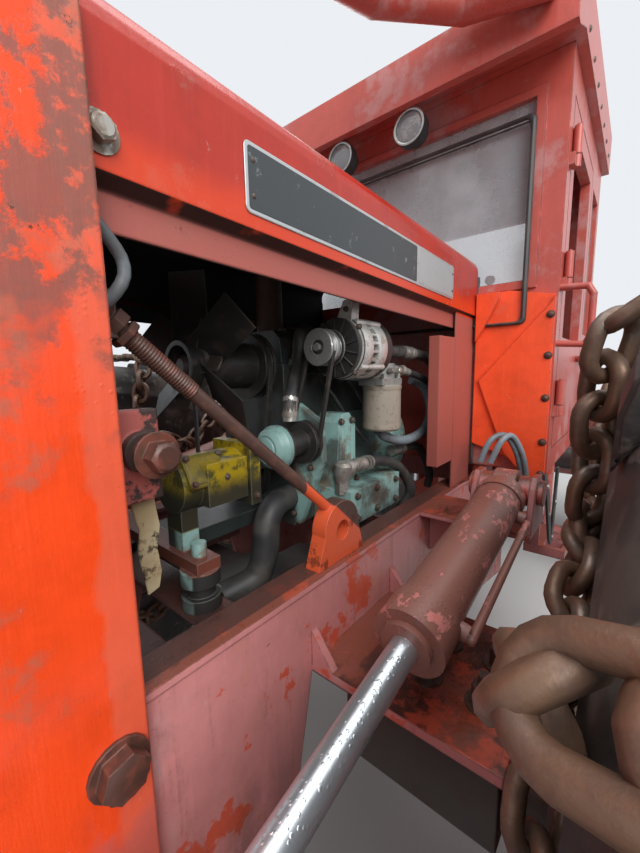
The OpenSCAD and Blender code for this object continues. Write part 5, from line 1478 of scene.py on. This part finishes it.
class SKIDDER_OT_hoses(Operator):
    """Hoses, fittings and clamps of the open engine bay and the lift cylinders"""

    bl_idname = "skidder.hoses"
    bl_label = "Hoses and fittings"

    def execute(self, context):
        r = context.scene.skidder_sizes.hose
        rubber, metal = Shape(), Shape()
        # From the elbow on the pump box, down behind the rail
        tube(rubber, [(0.247, -1.05, 1.250), (0.252, -0.97, 1.243), (0.260, -0.872, 1.212), (0.270, -0.800, 1.145),
                      (0.275, -0.782, 1.09), (0.250, -0.79, 1.03)], 0.0185)
        tube(metal, [(0.243, -1.145, 1.250), (0.246, -1.10, 1.252), (0.249, -1.00, 1.247)], 0.0175,
             swell=((0.0, 0.12, 0.026), (0.3, 0.62, 0.0215), (0.68, 0.72, 0.0235), (0.8, 0.84, 0.0235)))
        metal.lathe([(-0.034, 0.0), (-0.034, 0.021), (0.0, 0.028), (0.020, 0.026), (0.028, 0.016), (0.028, 0.0)],
                    axis_place((0.242, -1.158, 1.246), (0.15, 0, 1)), 18)
        metal.lathe([(0, 0), (0, 0.022), (0.045, 0.022), (0.045, 0)], upright(0.240, -1.158, 1.178), 6)
        # The one above it
        tube(rubber, [(0.228, -0.76, 1.250), (0.232, -0.70, 1.245), (0.240, -0.636, 1.226), (0.248, -0.580, 1.160),
                      (0.250, -0.555, 1.10), (0.240, -0.55, 1.05)], 0.0165)
        tube(metal, [(0.222, -0.835, 1.250), (0.228, -0.73, 1.249)], 0.0165,
             swell=((0.0, 0.4, 0.021), (0.7, 0.78, 0.021)))
        # From behind the generator and from the filter's head, to the rear
        tube(rubber, [(0.272, -0.96, 1.600), (0.28, -0.80, 1.596), (0.29, -0.690, 1.578), (0.30, -0.622, 1.520),
                      (0.30, -0.590, 1.44), (0.28, -0.57, 1.36)], 0.0175, swell=((0.10, 0.18, 0.020),))
        tube(metal, [(0.276, -0.87, 1.600), (0.281, -0.79, 1.594)], 0.0195,
             swell=((0.3, 0.42, 0.022), (0.7, 0.82, 0.022)))
        tube(rubber, [(0.285, -0.84, 1.532), (0.292, -0.72, 1.503), (0.30, -0.640, 1.455), (0.30, -0.608, 1.39),
                      (0.28, -0.59, 1.30)], 0.012)
        tube(metal, [(0.270, -0.93, 1.537), (0.281, -0.87, 1.537), (0.286, -0.835, 1.530)], 0.013,
             swell=((0.0, 0.25, 0.019), (0.5, 0.66, 0.018)))
        # Down from the thermostat to the idler's housing, with two clamps
        tube(rubber, [(0.11, -1.15, 1.665), (0.12, -1.195, 1.643), (0.13, -1.216, 1.558), (0.15, -1.262, 1.497),
                      (0.162, -1.290, 1.455), (0.166, -1.296, 1.405)], 0.0205)
        tube(metal, [(0.158, -1.283, 1.470), (0.164, -1.293, 1.435), (0.166, -1.296, 1.405)], 0.0212,
             swell=((0.05, 0.22, 0.0228), (0.62, 0.80, 0.0228)))
        # The wide lower hose to the radiator
        tube(rubber, [(0.085, -1.17, 1.135), (0.105, -1.245, 1.165), (0.13, -1.330, 1.168), (0.14, -1.372, 1.130),
                      (0.14, -1.382, 1.06), (0.13, -1.41, 0.985), (0.10, -1.50, 0.96)], 0.037, sides=18)
        # Fuel lines by the injectors and a cable under the hood's lip
        for radius, *line in (
            (0.006, (0.105, -1.02, 1.545), (0.15, -0.99, 1.50), (0.17, -0.93, 1.42), (0.19, -0.86, 1.33)),
            (0.006, (0.11, -1.12, 1.53), (0.16, -1.10, 1.47), (0.175, -1.03, 1.38), (0.20, -0.96, 1.30)),
            (0.009, (0.120, -0.85, 1.50), (0.165, -0.82, 1.42), (0.16, -0.78, 1.30), (0.10, -0.80, 1.20)),
        ):
            tube(rubber, line, radius, sides=8)
        rubber.piece("engine_hoses", "hose_rubber", "black_plastic", sharp=50)
        metal.piece("engine_fittings", "fitting_metal", "chrome_rod", bevel=0.001)
        grey = Shape()
        tube(grey, [(0.245, -0.955, 1.342), (0.252, -0.92, 1.314), (0.27, -0.821, 1.291),
                    (0.282, -0.704, 1.308), (0.284, -0.645, 1.360), (0.275, -0.636, 1.424),
                    (0.262, -0.668, 1.478), (0.24, -0.72, 1.50)], 0.0165)
        tube(grey, [(0.372, -1.842, 1.735), (0.366, -1.819, 1.712), (0.358, -1.800, 1.692), (0.356, -1.797, 1.670),
                    (0.352, -1.808, 1.648), (0.338, -1.822, 1.630)], 0.0085)
        grey.piece("grey_hoses", "grey_hose", "black_plastic", sharp=50)
        self.cylinder_hoses()
        return {"FINISHED"}

    def cylinder_hoses(self):
        """Two hoses at each lift cylinder's rear end. They ride on the frame and end at the cab's floor."""
        for side, label in SIDES:
            rubber = Shape()
            for apart in (0.0, 0.036):
                line = ((0.470, 1.0, -0.620, 1.20), (0.500, 1.0, -0.600, 1.28), (0.540, 0.6, -0.560, 1.295),
                        (0.575, 0.5, -0.530, 1.22), (0.585, 0.4, -0.505, 1.12), (0.56, 0.0, -0.50, 1.02))
                tube(rubber, [(side * (x + apart * share), y, z) for x, share, y, z in line], 0.0105)
            name = "cylinder_hoses_" + label
            rubber.piece(name, "grey_hose", "black_plastic", sharp=50)


class SKIDDER_OT_engine_trim(Operator):
    """Fine pieces of the engine: generator, pump cover, pulleys, cap, filter, bolts and the brace rod's thread"""

    bl_idname = "skidder.engine_trim"
    bl_label = "Engine trim"

    generator = (0.260, 1.600)
    idler = (0.192, 1.348)
    pump = (0.134, 1.300)
    filter = (0.250, -0.950)

    def execute(self, context):
        self.generator_parts()
        self.idler_cap()
        self.pump_cover()
        self.filter_parts()
        self.castings()
        self.brace_thread()
        self.shield()
        self.fan_trim()
        return {"FINISHED"}

    def generator_parts(self):
        x, z = self.generator
        front = axis_place((x, -1.300, z), (0, 1, 0))
        # Both grooved pulleys and the nut on the shaft
        pulleys = Shape()
        groove = [(0.014, 0.020), (0.014, 0.046)]
        for start in (0.016, 0.044):
            groove += [(start, 0.0475), (start + 0.004, 0.0475), (start + 0.010, 0.038), (start + 0.016, 0.038),
                       (start + 0.022, 0.0475), (start + 0.026, 0.0475)]
        groove += [(0.072, 0.030), (0.084, 0.030), (0.084, 0.0)]
        pulleys.lathe([(0.020, 0.0), (0.020, 0.016), *groove], front, 40)
        pulleys.lathe([(0.008, 0.0), (0.008, 0.011), (0.024, 0.011), (0.024, 0.0)], front, 6)
        pulleys.piece("generator_pulleys", "bright_metal", "chrome_rod", bevel=0.0006)
        disc = [(0.088, 0.030), (0.089, 0.079), (0.093, 0.080), (0.101, 0.079), (0.101, 0.030)]
        fan = Shape().lathe(disc, front, 48)
        for k in range(14):
            fan.box((0.036, -0.0012, 0.084), (0.076, 0.0012, 0.0885), turned(front, k, 14))
        fan.piece("generator_fan", "hose_rubber", "black_plastic", bevel=0.0005)
        case = Shape()
        case.lathe([(0.103, 0.040), (0.103, 0.074), (0.107, 0.084), (0.118, 0.0855), (0.146, 0.0855), (0.150, 0.0845),
                    (0.150, 0.070)], front, 56)
        case.lathe([(0.176, 0.070), (0.176, 0.0845), (0.180, 0.0855), (0.218, 0.0855), (0.236, 0.080), (0.250, 0.066),
                    (0.256, 0.040), (0.256, 0.0)], front, 56)
        for k in range(22):
            case.box((0.069, -0.0035, 0.148), (0.0835, 0.0035, 0.178), turned(front, k, 22))
        # Ear with its bolt hole's boss, and four through bolts' lugs
        ear = [(-0.014, 0.060), (0.042, 0.058), (0.046, 0.116), (0.034, 0.126), (0.016, 0.124)]
        swapped = Matrix(((1, 0, 0, 0), (0, 0, 1, 0), (0, 1, 0, 0), (0, 0, 0, 1)))  # Y and Z
        case.prism(ear, -1.196, -1.162, Matrix.Translation((x, 0, z)) @ swapped)
        for k in range(4):
            angle = math.radians(38 + 90 * k)
            place = front @ Matrix.Translation((0.084 * math.cos(angle), 0.084 * math.sin(angle), 0))
            case.lathe([(0.108, 0.0), (0.108, 0.008), (0.225, 0.008), (0.225, 0.0)], place, 12)
        case.piece("generator_case", "aluminium", "chrome_rod", bevel=0.0012)
        spots = [((x + 0.028, -1.197, z + 0.100), (0, -1, 0), UP)]
        spots += [((x + 0.084 * math.cos(a), -1.193, z + 0.084 * math.sin(a)), (0, -1, 0), UP)
                  for a in (math.radians(38 + 90 * k) for k in range(4))]
        bolts("generator_bolts", spots, width=0.013, washer=1.2)

    def idler_cap(self):
        x, z = self.idler
        place = axis_place((x, -1.405, z), (0, -1, 0))
        cap = Shape().lathe([(-0.038, 0.050), (-0.036, 0.0575), (-0.022, 0.0580), (-0.018, 0.0555), (-0.004, 0.050),
                             (0.005, 0.040), (0.007, 0.036), (0.006, 0.031), (0.009, 0.028), (0.012, 0.018),
                             (0.012, 0.012), (0.010, 0.010), (0.010, 0.0)], place, 48)
        cap.piece("idler_cap", "teal_cap", "engine_teal", sharp=25)

    def pump_cover(self):
        x, z = self.pump
        lean = math.radians(32)
        normal = Vector((math.cos(lean), 0, math.sin(lean)))
        place = axis_place(Vector((x, -1.585, z)) + normal * 0.052, normal, (0, 1, 0))
        cover = Shape().prism(rounded_outline(0.094, 0.074, 0.010), 0.0, 0.018, place)
        cover.prism(rounded_outline(0.082, 0.062, 0.008), 0.016, 0.021, place)
        cover.piece("pump_cover", "pump_cover_paint", "engine_teal", bevel=0.002)
        corners = [(u, v, 0.018) for u in (-0.039, 0.039) for v in (-0.029, 0.029)]
        spots = [(place @ Vector(corner), normal, (0, 1, 0)) for corner in corners]
        side = [((x + 0.0725, -1.460, z + v), ACROSS, UP) for v in (-0.052, 0.052)]
        bolts("pump_bolts", spots + side, width=0.013, washer=1.3)

    def filter_parts(self):
        x, y = self.filter
        band = Shape()
        up = upright(x, y, 0)
        band.lathe([(1.345, 0.030), (1.345, 0.056), (1.352, 0.0628), (1.360, 0.0632), (1.364, 0.0625), (1.372, 0.0624),
                    (1.372, 0.040)], up, 40)
        band.lathe([(1.476, 0.040), (1.476, 0.0624), (1.481, 0.0640), (1.490, 0.0640), (1.490, 0.040)], up, 40)
        band.piece("filter_bands", "canister_paint", "engine_teal")
        spots = [((x + 0.034, y + v, 1.512), UP, ACROSS) for v in (-0.045, 0.045)]
        spots += [((x + 0.041, y + v, 1.537), ACROSS, UP) for v in (-0.022, 0.022)]
        bolts("filter_bolts", spots, width=0.018, washer=1.15, height=0.7, material="fitting_metal",
              slot="chrome_rod")
        drain = [((x, y, 1.3455), (0, 0, -1), (1, 0, 0))]
        bolts("filter_drain", drain, width=0.020, washer=1.6, height=0.6)

    def castings(self):
        ribs = [((0.173, -1.158 + 0.024 * k, 1.30), ACROSS, UP) for k in range(1, 5)]
        values = {"Length": 0.15, "Thickness": 0.006, "Height": 0.046, "Material": finish("engine_paint")}
        tree("rib").grow("cover_ribs", ribs, "front_frame", values, "engine_teal")
        spots = [((0.2155, y, z), ACROSS, UP) for y, z in
                 ((-1.148, 1.197), (-1.052, 1.197), (-1.130, 1.388), (-1.075, 1.388))]
        spots += [((0.2805, y, z), ACROSS, UP) for y in (-1.14, -1.03, -0.91) for z in (1.105, 1.172)]
        bolts("casting_bolts", spots, width=0.017, washer=1.3)
        front = [((x, -1.2505, z), (0, -1, 0), (1, 0, 0)) for x, z in
                 ((-0.16, 1.12), (-0.16, 1.42), (0.13, 1.12), (0.20, 1.27), (0.215, 1.38), (0.13, 1.43))]
        bolts("front_plate_bolts", front, width=0.016, washer=1.2)
        cover = Shape()
        for k in range(3):
            bung = [(0.0, 0.0), (0.0, 0.022), (0.006, 0.022), (0.010, 0.012), (0.016, 0.011), (0.016, 0.0)]
            cover.lathe(bung, upright(-0.02, -1.13 + 0.15 * k, 1.664), 20)
        # Flange bolts round the cover and the injectors along the head
        for k in range(4):
            place = axis_place((0.083, -1.19 + 0.125 * k, 1.556), (0.25, 0, 1))
            stem = [(0.0, 0.0), (0.0, 0.016), (0.020, 0.016), (0.024, 0.010), (0.052, 0.009), (0.052, 0.0)]
            cover.lathe(stem, place, 16)
        cover.piece("head_fittings", "fitting_metal", "chrome_rod", bevel=0.0008)

    def brace_thread(self):
        """The rod's threaded upper part with its nut and lock nut."""
        top, foot = Vector((0.320, -1.820, 1.626)), Vector((0.356, -1.342, 1.196))
        place = axis_place(top, foot - top, (1, 0, 0))
        thread = Shape()
        profile, pitch, start = [(0.040, 0.0)], 0.005, 0.040
        for k in range(27):
            for share, radius in ((0, 0.0136), (0.45, 0.0154), (0.6, 0.0154)):
                profile.append((start + pitch * (k + share), radius))
        profile.append((start + pitch * 27, 0.0134))
        thread.lathe([*profile, (start + pitch * 27, 0.0)], place, 18)
        for low, high in ((0.014, 0.034), (0.0375, 0.050)):
            nut = [(low, 0.0), (low, 0.021), (low + 0.002, 0.0235)]
            nut += [(high - 0.002, 0.0235), (high, 0.021), (high, 0.0)]
            thread.lathe(nut, place, 6)
        # Ball of the joint that the nuts pull against
        thread.lathe([(-0.020, 0.0), (-0.018, 0.012), (-0.008, 0.022), (0.004, 0.024), (0.012, 0.018), (0.014, 0.0)],
                     place, 20)
        thread.piece("brace_thread", "rusty_bolt", "dark_steel", sharp=28)

    def shield(self):
        """A bent pale strip that hangs from the guard's bracket."""
        side = [(-1.800, 1.375), (-1.764, 1.372), (-1.762, 1.335), (-1.757, 1.300), (-1.764, 1.262), (-1.760, 1.222),
                (-1.766, 1.196), (-1.785, 1.190), (-1.789, 1.224), (-1.795, 1.262), (-1.790, 1.300), (-1.798, 1.338)]
        rings = [[(x, y, z) for y, z in side] for x in (0.3125, 0.3165)]
        Shape().loft(rings).piece("pale_strip", "cream_paint", "cylinder_paint", bevel=0.001)

    def fan_trim(self):
        """Hub and spider arms that hold the fan's blades."""
        place = axis_place((0.03, -1.500, 1.558), (0, -1, 0))
        hub = Shape()
        hub.lathe([(-0.012, 0.030), (-0.012, 0.070), (0.0, 0.072), (0.006, 0.066), (0.006, 0.030)], place, 36)
        hub.lathe([(0.004, 0.0), (0.004, 0.032), (0.022, 0.030), (0.034, 0.018), (0.034, 0.0)], place, 28)
        arm = [(0.050, -0.026), (0.118, -0.019), (0.124, -0.010), (0.124, 0.010), (0.118, 0.019), (0.050, 0.026)]
        for k in range(6):
            turn = place @ Matrix.Rotation(math.radians(30 + 60 * k), 4, "Z")
            hub.prism(arm, 0.0028, 0.0068, turn @ Matrix.Rotation(math.radians(-28), 4, "X"))
        hub.piece("fan_hub", "oily_steel", "dark_steel", bevel=0.0008)


class SKIDDER_OT_seams(Operator):
    """Rubber seams of the hood and the windshield"""

    bl_idname = "skidder.seams"
    bl_label = "Seams and seals"

    wide, top = 2 * (0.660 - 0.103), 2.380  # the windshield's opening

    def execute(self, context):
        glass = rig.box("cab_glass")
        front = CAB[0].y
        seals = Shape()
        window = rounded_outline(self.wide, self.top - glass[0].z, 0.02)
        middle = (self.top + glass[0].z) / 2
        for y in (front - 0.0085, front + 0.030):
            self.frame(seals, [(u, y, middle + v) for u, v in window], 0.011)
        seals.piece("windshield_seal", "hose_rubber", "black_plastic")
        rubber = Shape()
        for side in (LEFT, RIGHT):
            line = [(side * 0.3905, HOOD_REAR + 0.0045, z) for z in (1.885, 1.70, 1.45, 1.15)]
            tube(rubber, line, 0.006, sides=8, step=0.06)
        rubber.piece("hood_rubber", "hose_rubber", "black_plastic")
        return {"FINISHED"}

    def frame(self, shape, points, radius):
        """A closed round bead along the points."""
        ring = [Vector(p) for p in points]
        rings = []
        middle = sum(ring, Vector()) / len(ring)
        across = Vector((0, 1, 0))
        angles = [math.tau * k / 8 for k in range(8)]
        for p in ring:
            out = (p - middle).normalized()
            rings.append([p + (out * math.cos(a) + across * math.sin(a)) * radius for a in angles])
        shape.loft(rings, closed=True)


class SKIDDER_OT_cab_trim(Operator):
    """Lamps, step straps, dash gauges, knobs and the filler cap's grip"""

    bl_idname = "skidder.cab_trim"
    bl_label = "Cab trim"

    def execute(self, context):
        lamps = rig.box("lamps")
        for label, x in (("left", lamps[1].x - 0.062), ("right", lamps[0].x + 0.062)):
            place = axis_place((x, lamps[0].y, (lamps[0].z * 2 + 0.124) / 2), (0, -1, 0))
            lens = Shape().lathe([(-0.011, 0.0), (-0.011, 0.0535), (-0.006, 0.0535), (-0.001, 0.042), (0.003, 0.024),
                                  (0.0045, 0.0)], place, 36)
            lens.piece("lamp_lens_" + label, "lamp_glass", "chrome_rod", sharp=60)
            rim = [(-0.012, 0.0535), (0.0015, 0.0535), (0.003, 0.057), (0.0015, 0.0618), (-0.004, 0.0618)]
            ring = Shape().lathe(rim, place, 36, closed=True)
            ring.piece("lamp_ring_" + label, "bright_metal", "chrome_rod")
        self.straps()
        self.dash()
        cap = Shape()
        place = upright(0.17, HOOD_FRONT + 0.845, HOOD[1].z)
        cap.lathe([(-0.034, 0.0), (-0.034, 0.0485), (-0.004, 0.0485), (0.001, 0.045), (0.001, 0.0)], place, 40)
        for k in range(12):
            cap.box((0.046, -0.004, -0.032), (0.0515, 0.004, -0.005), turned(place, k, 12))
        cap.piece("filler_cap", "cowl_paint", "orange_red_paint", bevel=0.001)
        return {"FINISHED"}

    def straps(self):
        """A rubber belt from the cab's corner to the front of each step, with its bolts."""
        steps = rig.box("steps")
        for side, label in SIDES:
            line = smooth_path([(0.655, CAB[0].y + 0.010, 1.150), (0.667, CAB[0].y + 0.012, 1.08),
                                (0.669, -0.400, 0.96), (0.672, -0.330, 0.86),
                                (0.676, steps[0].y - 0.006, steps[1].z - 0.005)], 0.02)
            rings, belt = [], Shape()
            for i, spot in enumerate(line):
                ahead = (line[min(i + 1, len(line) - 1)] - line[max(i - 1, 0)]).normalized()
                flat = ahead.cross(Vector((1, 0, 0))).normalized()
                corners = ((-0.004, -0.024), (0.004, -0.024), (0.004, 0.024), (-0.004, 0.024))
                rings.append([Vector((side * (spot + Vector((u, 0, 0)) + flat * v).x, *(spot + flat * v).yz))
                              for u, v in corners])
            belt.loft(rings)
            name = "step_strap_" + label
            belt.piece(name, "hose_rubber", "black_plastic", bevel=0.0012)
            studs = []
            for share in (0.10, 0.34, 0.58, 0.82):
                spot = line[int(share * (len(line) - 1))]
                studs.append(((side * (spot.x + 0.004), spot.y, spot.z), (side, 0, 0), UP))
            rivets("strap_studs_" + label, studs, 0.018, 0.006, "bright_bolt")

    def dash(self):
        """Gauges with bezels and plain dials, and a round knob on each lever."""
        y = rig.box("controls")[0].y + 0.1403
        bezels, dials = Shape(), Shape()
        for x, z, r in ((-0.10, 1.735, 0.042), (0.02, 1.745, 0.052), (0.14, 1.735, 0.042), (-0.22, 1.72, 0.030)):
            place = axis_place((x, y, z), (0, 1, 0))
            bezel = [(0.0, r - 0.006), (0.0, r), (0.007, r), (0.009, r - 0.003), (0.007, r - 0.006)]
            bezels.lathe(bezel, place, 28, closed=True)
            dials.lathe([(0.0, 0.0), (0.0, r - 0.006), (0.0035, r - 0.006), (0.0035, 0.0)], place, 28)
        bezels.piece("gauge_bezels", "bright_metal", "chrome_rod")
        dials.piece("gauge_dials", "dial_face", "black_plastic")
        knobs = Shape()
        for x in (0.26, 0.32, 0.38):
            place = axis_place((x, y - 0.005, 1.900), (0, 0.2, 1))
            knobs.lathe([(-0.012, 0.0), (-0.011, 0.010), (-0.002, 0.019), (0.010, 0.021), (0.020, 0.016), (0.025, 0.0)],
                        place, 20)
        knobs.piece("lever_knobs", "knob_red", "black_plastic", sharp=60)


class SKIDDER_OT_seat(Operator):
    """The driver's seat: a crowned cushion and back of vinyl on a steel frame"""

    bl_idname = "skidder.seat"
    bl_label = "Seat"

    cap = 0.024  # the farthest that the pressure may move the cloth
    rows, grid, frames = 9, 0.0065, 20

    def execute(self, context):
        low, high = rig.box("seat")
        rear = high.y
        lean = math.radians(84)
        cushion = self.pad(context, "seat_cushion", (0, rear - 0.255, 1.540), (0.435, 0.390, 0.085), 0.0, 0.03)
        self.pad(context, "seat_back", (0, rear - 0.075, 1.835), (0.410, 0.430, 0.075), lean, 0.02)
        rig.replaces(cushion, "seat")
        pan = Shape()
        pan.prism(rounded_outline(0.40, 0.38, 0.03), 1.482, 1.497, Matrix.Translation((0, rear - 0.26, 0)))
        pan.box((-0.150, rear - 0.445, low.z), (0.150, rear - 0.125, 1.484))
        pan.prism(rounded_outline(0.38, 0.42, 0.03), -0.006, 0.006,
                  Matrix.Translation((0, rear - 0.022, 1.83)) @ Matrix.Rotation(math.radians(86), 4, "X"))
        pan.box((-0.05, rear - 0.055, 1.485), (0.05, rear - 0.020, 1.68))
        pan.piece("seat_frame", "oily_steel", "dark_steel", bevel=0.003)
        return {"FINISHED"}

    def pad(self, context, name, middle, size, lean, channel):
        """A pad whose sides pull in between its corners, swollen by a cloth's pressure in a full look."""
        place = Matrix.Translation(middle) @ Matrix.Rotation(lean, 4, "X")
        wide, deep, thick = (s / 2 for s in size)
        rings = []
        for i in range(self.rows + 1):
            t = -1 + 2 * i / self.rows
            level = thick * t
            inset = 0.020 * (t * t) ** 2 + 0.003
            ring = []
            for u, v in rounded_outline(2 * (wide - inset), 2 * (deep - inset), 0.045, 6):
                pull = 0.006 * (math.cos(u / wide * math.pi / 2) + math.cos(v / deep * math.pi / 2)) / 2
                ring.append((u * (1 - pull / wide), v * (1 - pull / deep), level))
            rings.append(ring)
        made = linked(name, Shape().loft(rings, place).mesh(name, sharp=60))
        remesh = made.modifiers.new("even", "REMESH")
        remesh.mode, remesh.voxel_size = "VOXEL", self.grid
        data = self.applied(context, made)
        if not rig.quick():
            start = [v.co.copy() for v in data.vertices]
            cloth = made.modifiers.new("swell", "CLOTH")
            cloth.settings.use_pressure = True
            cloth.settings.uniform_pressure_force = 4
            cloth.settings.effector_weights.gravity = 0
            cloth.point_cache.frame_start, cloth.point_cache.frame_end = 1, self.frames
            for frame_number in range(1, self.frames + 1):
                context.scene.frame_set(frame_number)
            data = self.applied(context, made)
            context.scene.frame_set(1)
            for vertex, before in zip(data.vertices, start):
                move = vertex.co - before
                if move.length > self.cap:
                    vertex.co = before + move * (self.cap / move.length)
        self.sew(data, place, wide, deep, thick, channel)
        rounded = made.modifiers.new("rounded", "SUBSURF")
        rounded.levels = rounded.render_levels = 1
        data = self.applied(context, made)
        data.polygons.foreach_set("use_smooth", [True] * len(data.polygons))
        data.materials.append(finish("seat_vinyl"))
        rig.padded(made, fill=0.8)
        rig.slot(made, "seat_vinyl")
        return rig.ride(made, "front_frame")

    def applied(self, context, made):
        """The object's mesh with its modifiers applied; it keeps none."""
        data = bpy.data.meshes.new_from_object(made.evaluated_get(context.evaluated_depsgraph_get()))
        made.modifiers.clear()
        made.data = data
        return data

    def sew(self, data, place, wide, deep, thick, channel):
        """Sewn channels across the top and a welt round the middle."""
        back = place.inverted()
        for vertex in data.vertices:
            spot = back @ vertex.co
            top = min(max(spot.z / thick, 0), 1)
            seam = min(abs(spot.y - deep * k) for k in (-0.5, 0.0, 0.5))
            fold = math.exp(-((seam / 0.006) ** 2)) * channel * 0.16 * top
            welt = 0.0035 * math.exp(-((spot.z - thick * 0.45) / 0.004) ** 2)
            out = Vector((spot.x / wide, spot.y / deep, 0))
            spot -= Vector((0, 0, fold))
            if out.length > 0.85:
                spot += out.normalized() * welt
            vertex.co = place @ spot


class SKIDDER_OT_radiator_trim(Operator):
    """Tubes and fins of the radiator's core, seen through the guard and from the engine"""

    bl_idname = "skidder.radiator_trim"
    bl_label = "Radiator core"

    tubes, fins = 26, 46
    across, upright = (-0.268, 0.268), (1.156, 1.796)

    def execute(self, context):
        low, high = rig.box("radiator")
        fins = Shape()
        (x0, x1), (z0, z1) = self.across, self.upright
        for y in (high.y - 0.011, low.y - 0.0015):
            for k in range(self.tubes + 1):
                x = x0 + (x1 - x0) * k / self.tubes
                fins.box((x - 0.0015, y, z0), (x + 0.0015, y + 0.008, z1))
            for k in range(self.fins + 1):
                z = z0 + (z1 - z0) * k / self.fins
                fins.box((x0, y + 0.002, z - 0.0007), (x1, y + 0.006, z + 0.0007))
        fins.piece("radiator_fins", "radiator_core", "dark_steel")
        return {"FINISHED"}


class SKIDDER_PT_looks(Panel):
    """The steps that dress the skidder"""

    bl_idname = "SKIDDER_PT_looks"
    bl_label = "Skidder"
    bl_space_type = "VIEW_3D"
    bl_region_type = "UI"
    bl_category = "Skidder"

    def draw(self, context):
        for step in STEPS:
            self.layout.operator(step.bl_idname)


STEPS = (
    SKIDDER_OT_stage,
    SKIDDER_OT_finishes,
    SKIDDER_OT_tyres,
    SKIDDER_OT_chains,
    SKIDDER_OT_nameplate,
    SKIDDER_OT_fasteners,
    SKIDDER_OT_hoses,
    SKIDDER_OT_engine_trim,
    SKIDDER_OT_seams,
    SKIDDER_OT_cab_trim,
    SKIDDER_OT_seat,
    SKIDDER_OT_radiator_trim,
)
CLASSES = (SkidderColours, SkidderSizes, *STEPS, SKIDDER_PT_looks)


def register():
    for made in CLASSES:
        bpy.utils.register_class(made)
    bpy.types.Scene.skidder_colours = PointerProperty(type=SkidderColours)
    bpy.types.Scene.skidder_sizes = PointerProperty(type=SkidderSizes)


def unregister():
    del bpy.types.Scene.skidder_sizes
    del bpy.types.Scene.skidder_colours
    for made in reversed(CLASSES):
        bpy.utils.unregister_class(made)


def main():
    register()
    for step in STEPS:
        group, name = step.bl_idname.split(".")
        getattr(getattr(bpy.ops, group), name)()
    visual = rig.bounds()
    with open("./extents.json", "w") as file:
        json.dump({"cad": [list(p) for p in CAD_BOX], "visual": [list(p) for p in visual]}, file)


if __name__ == "__main__":
    main()
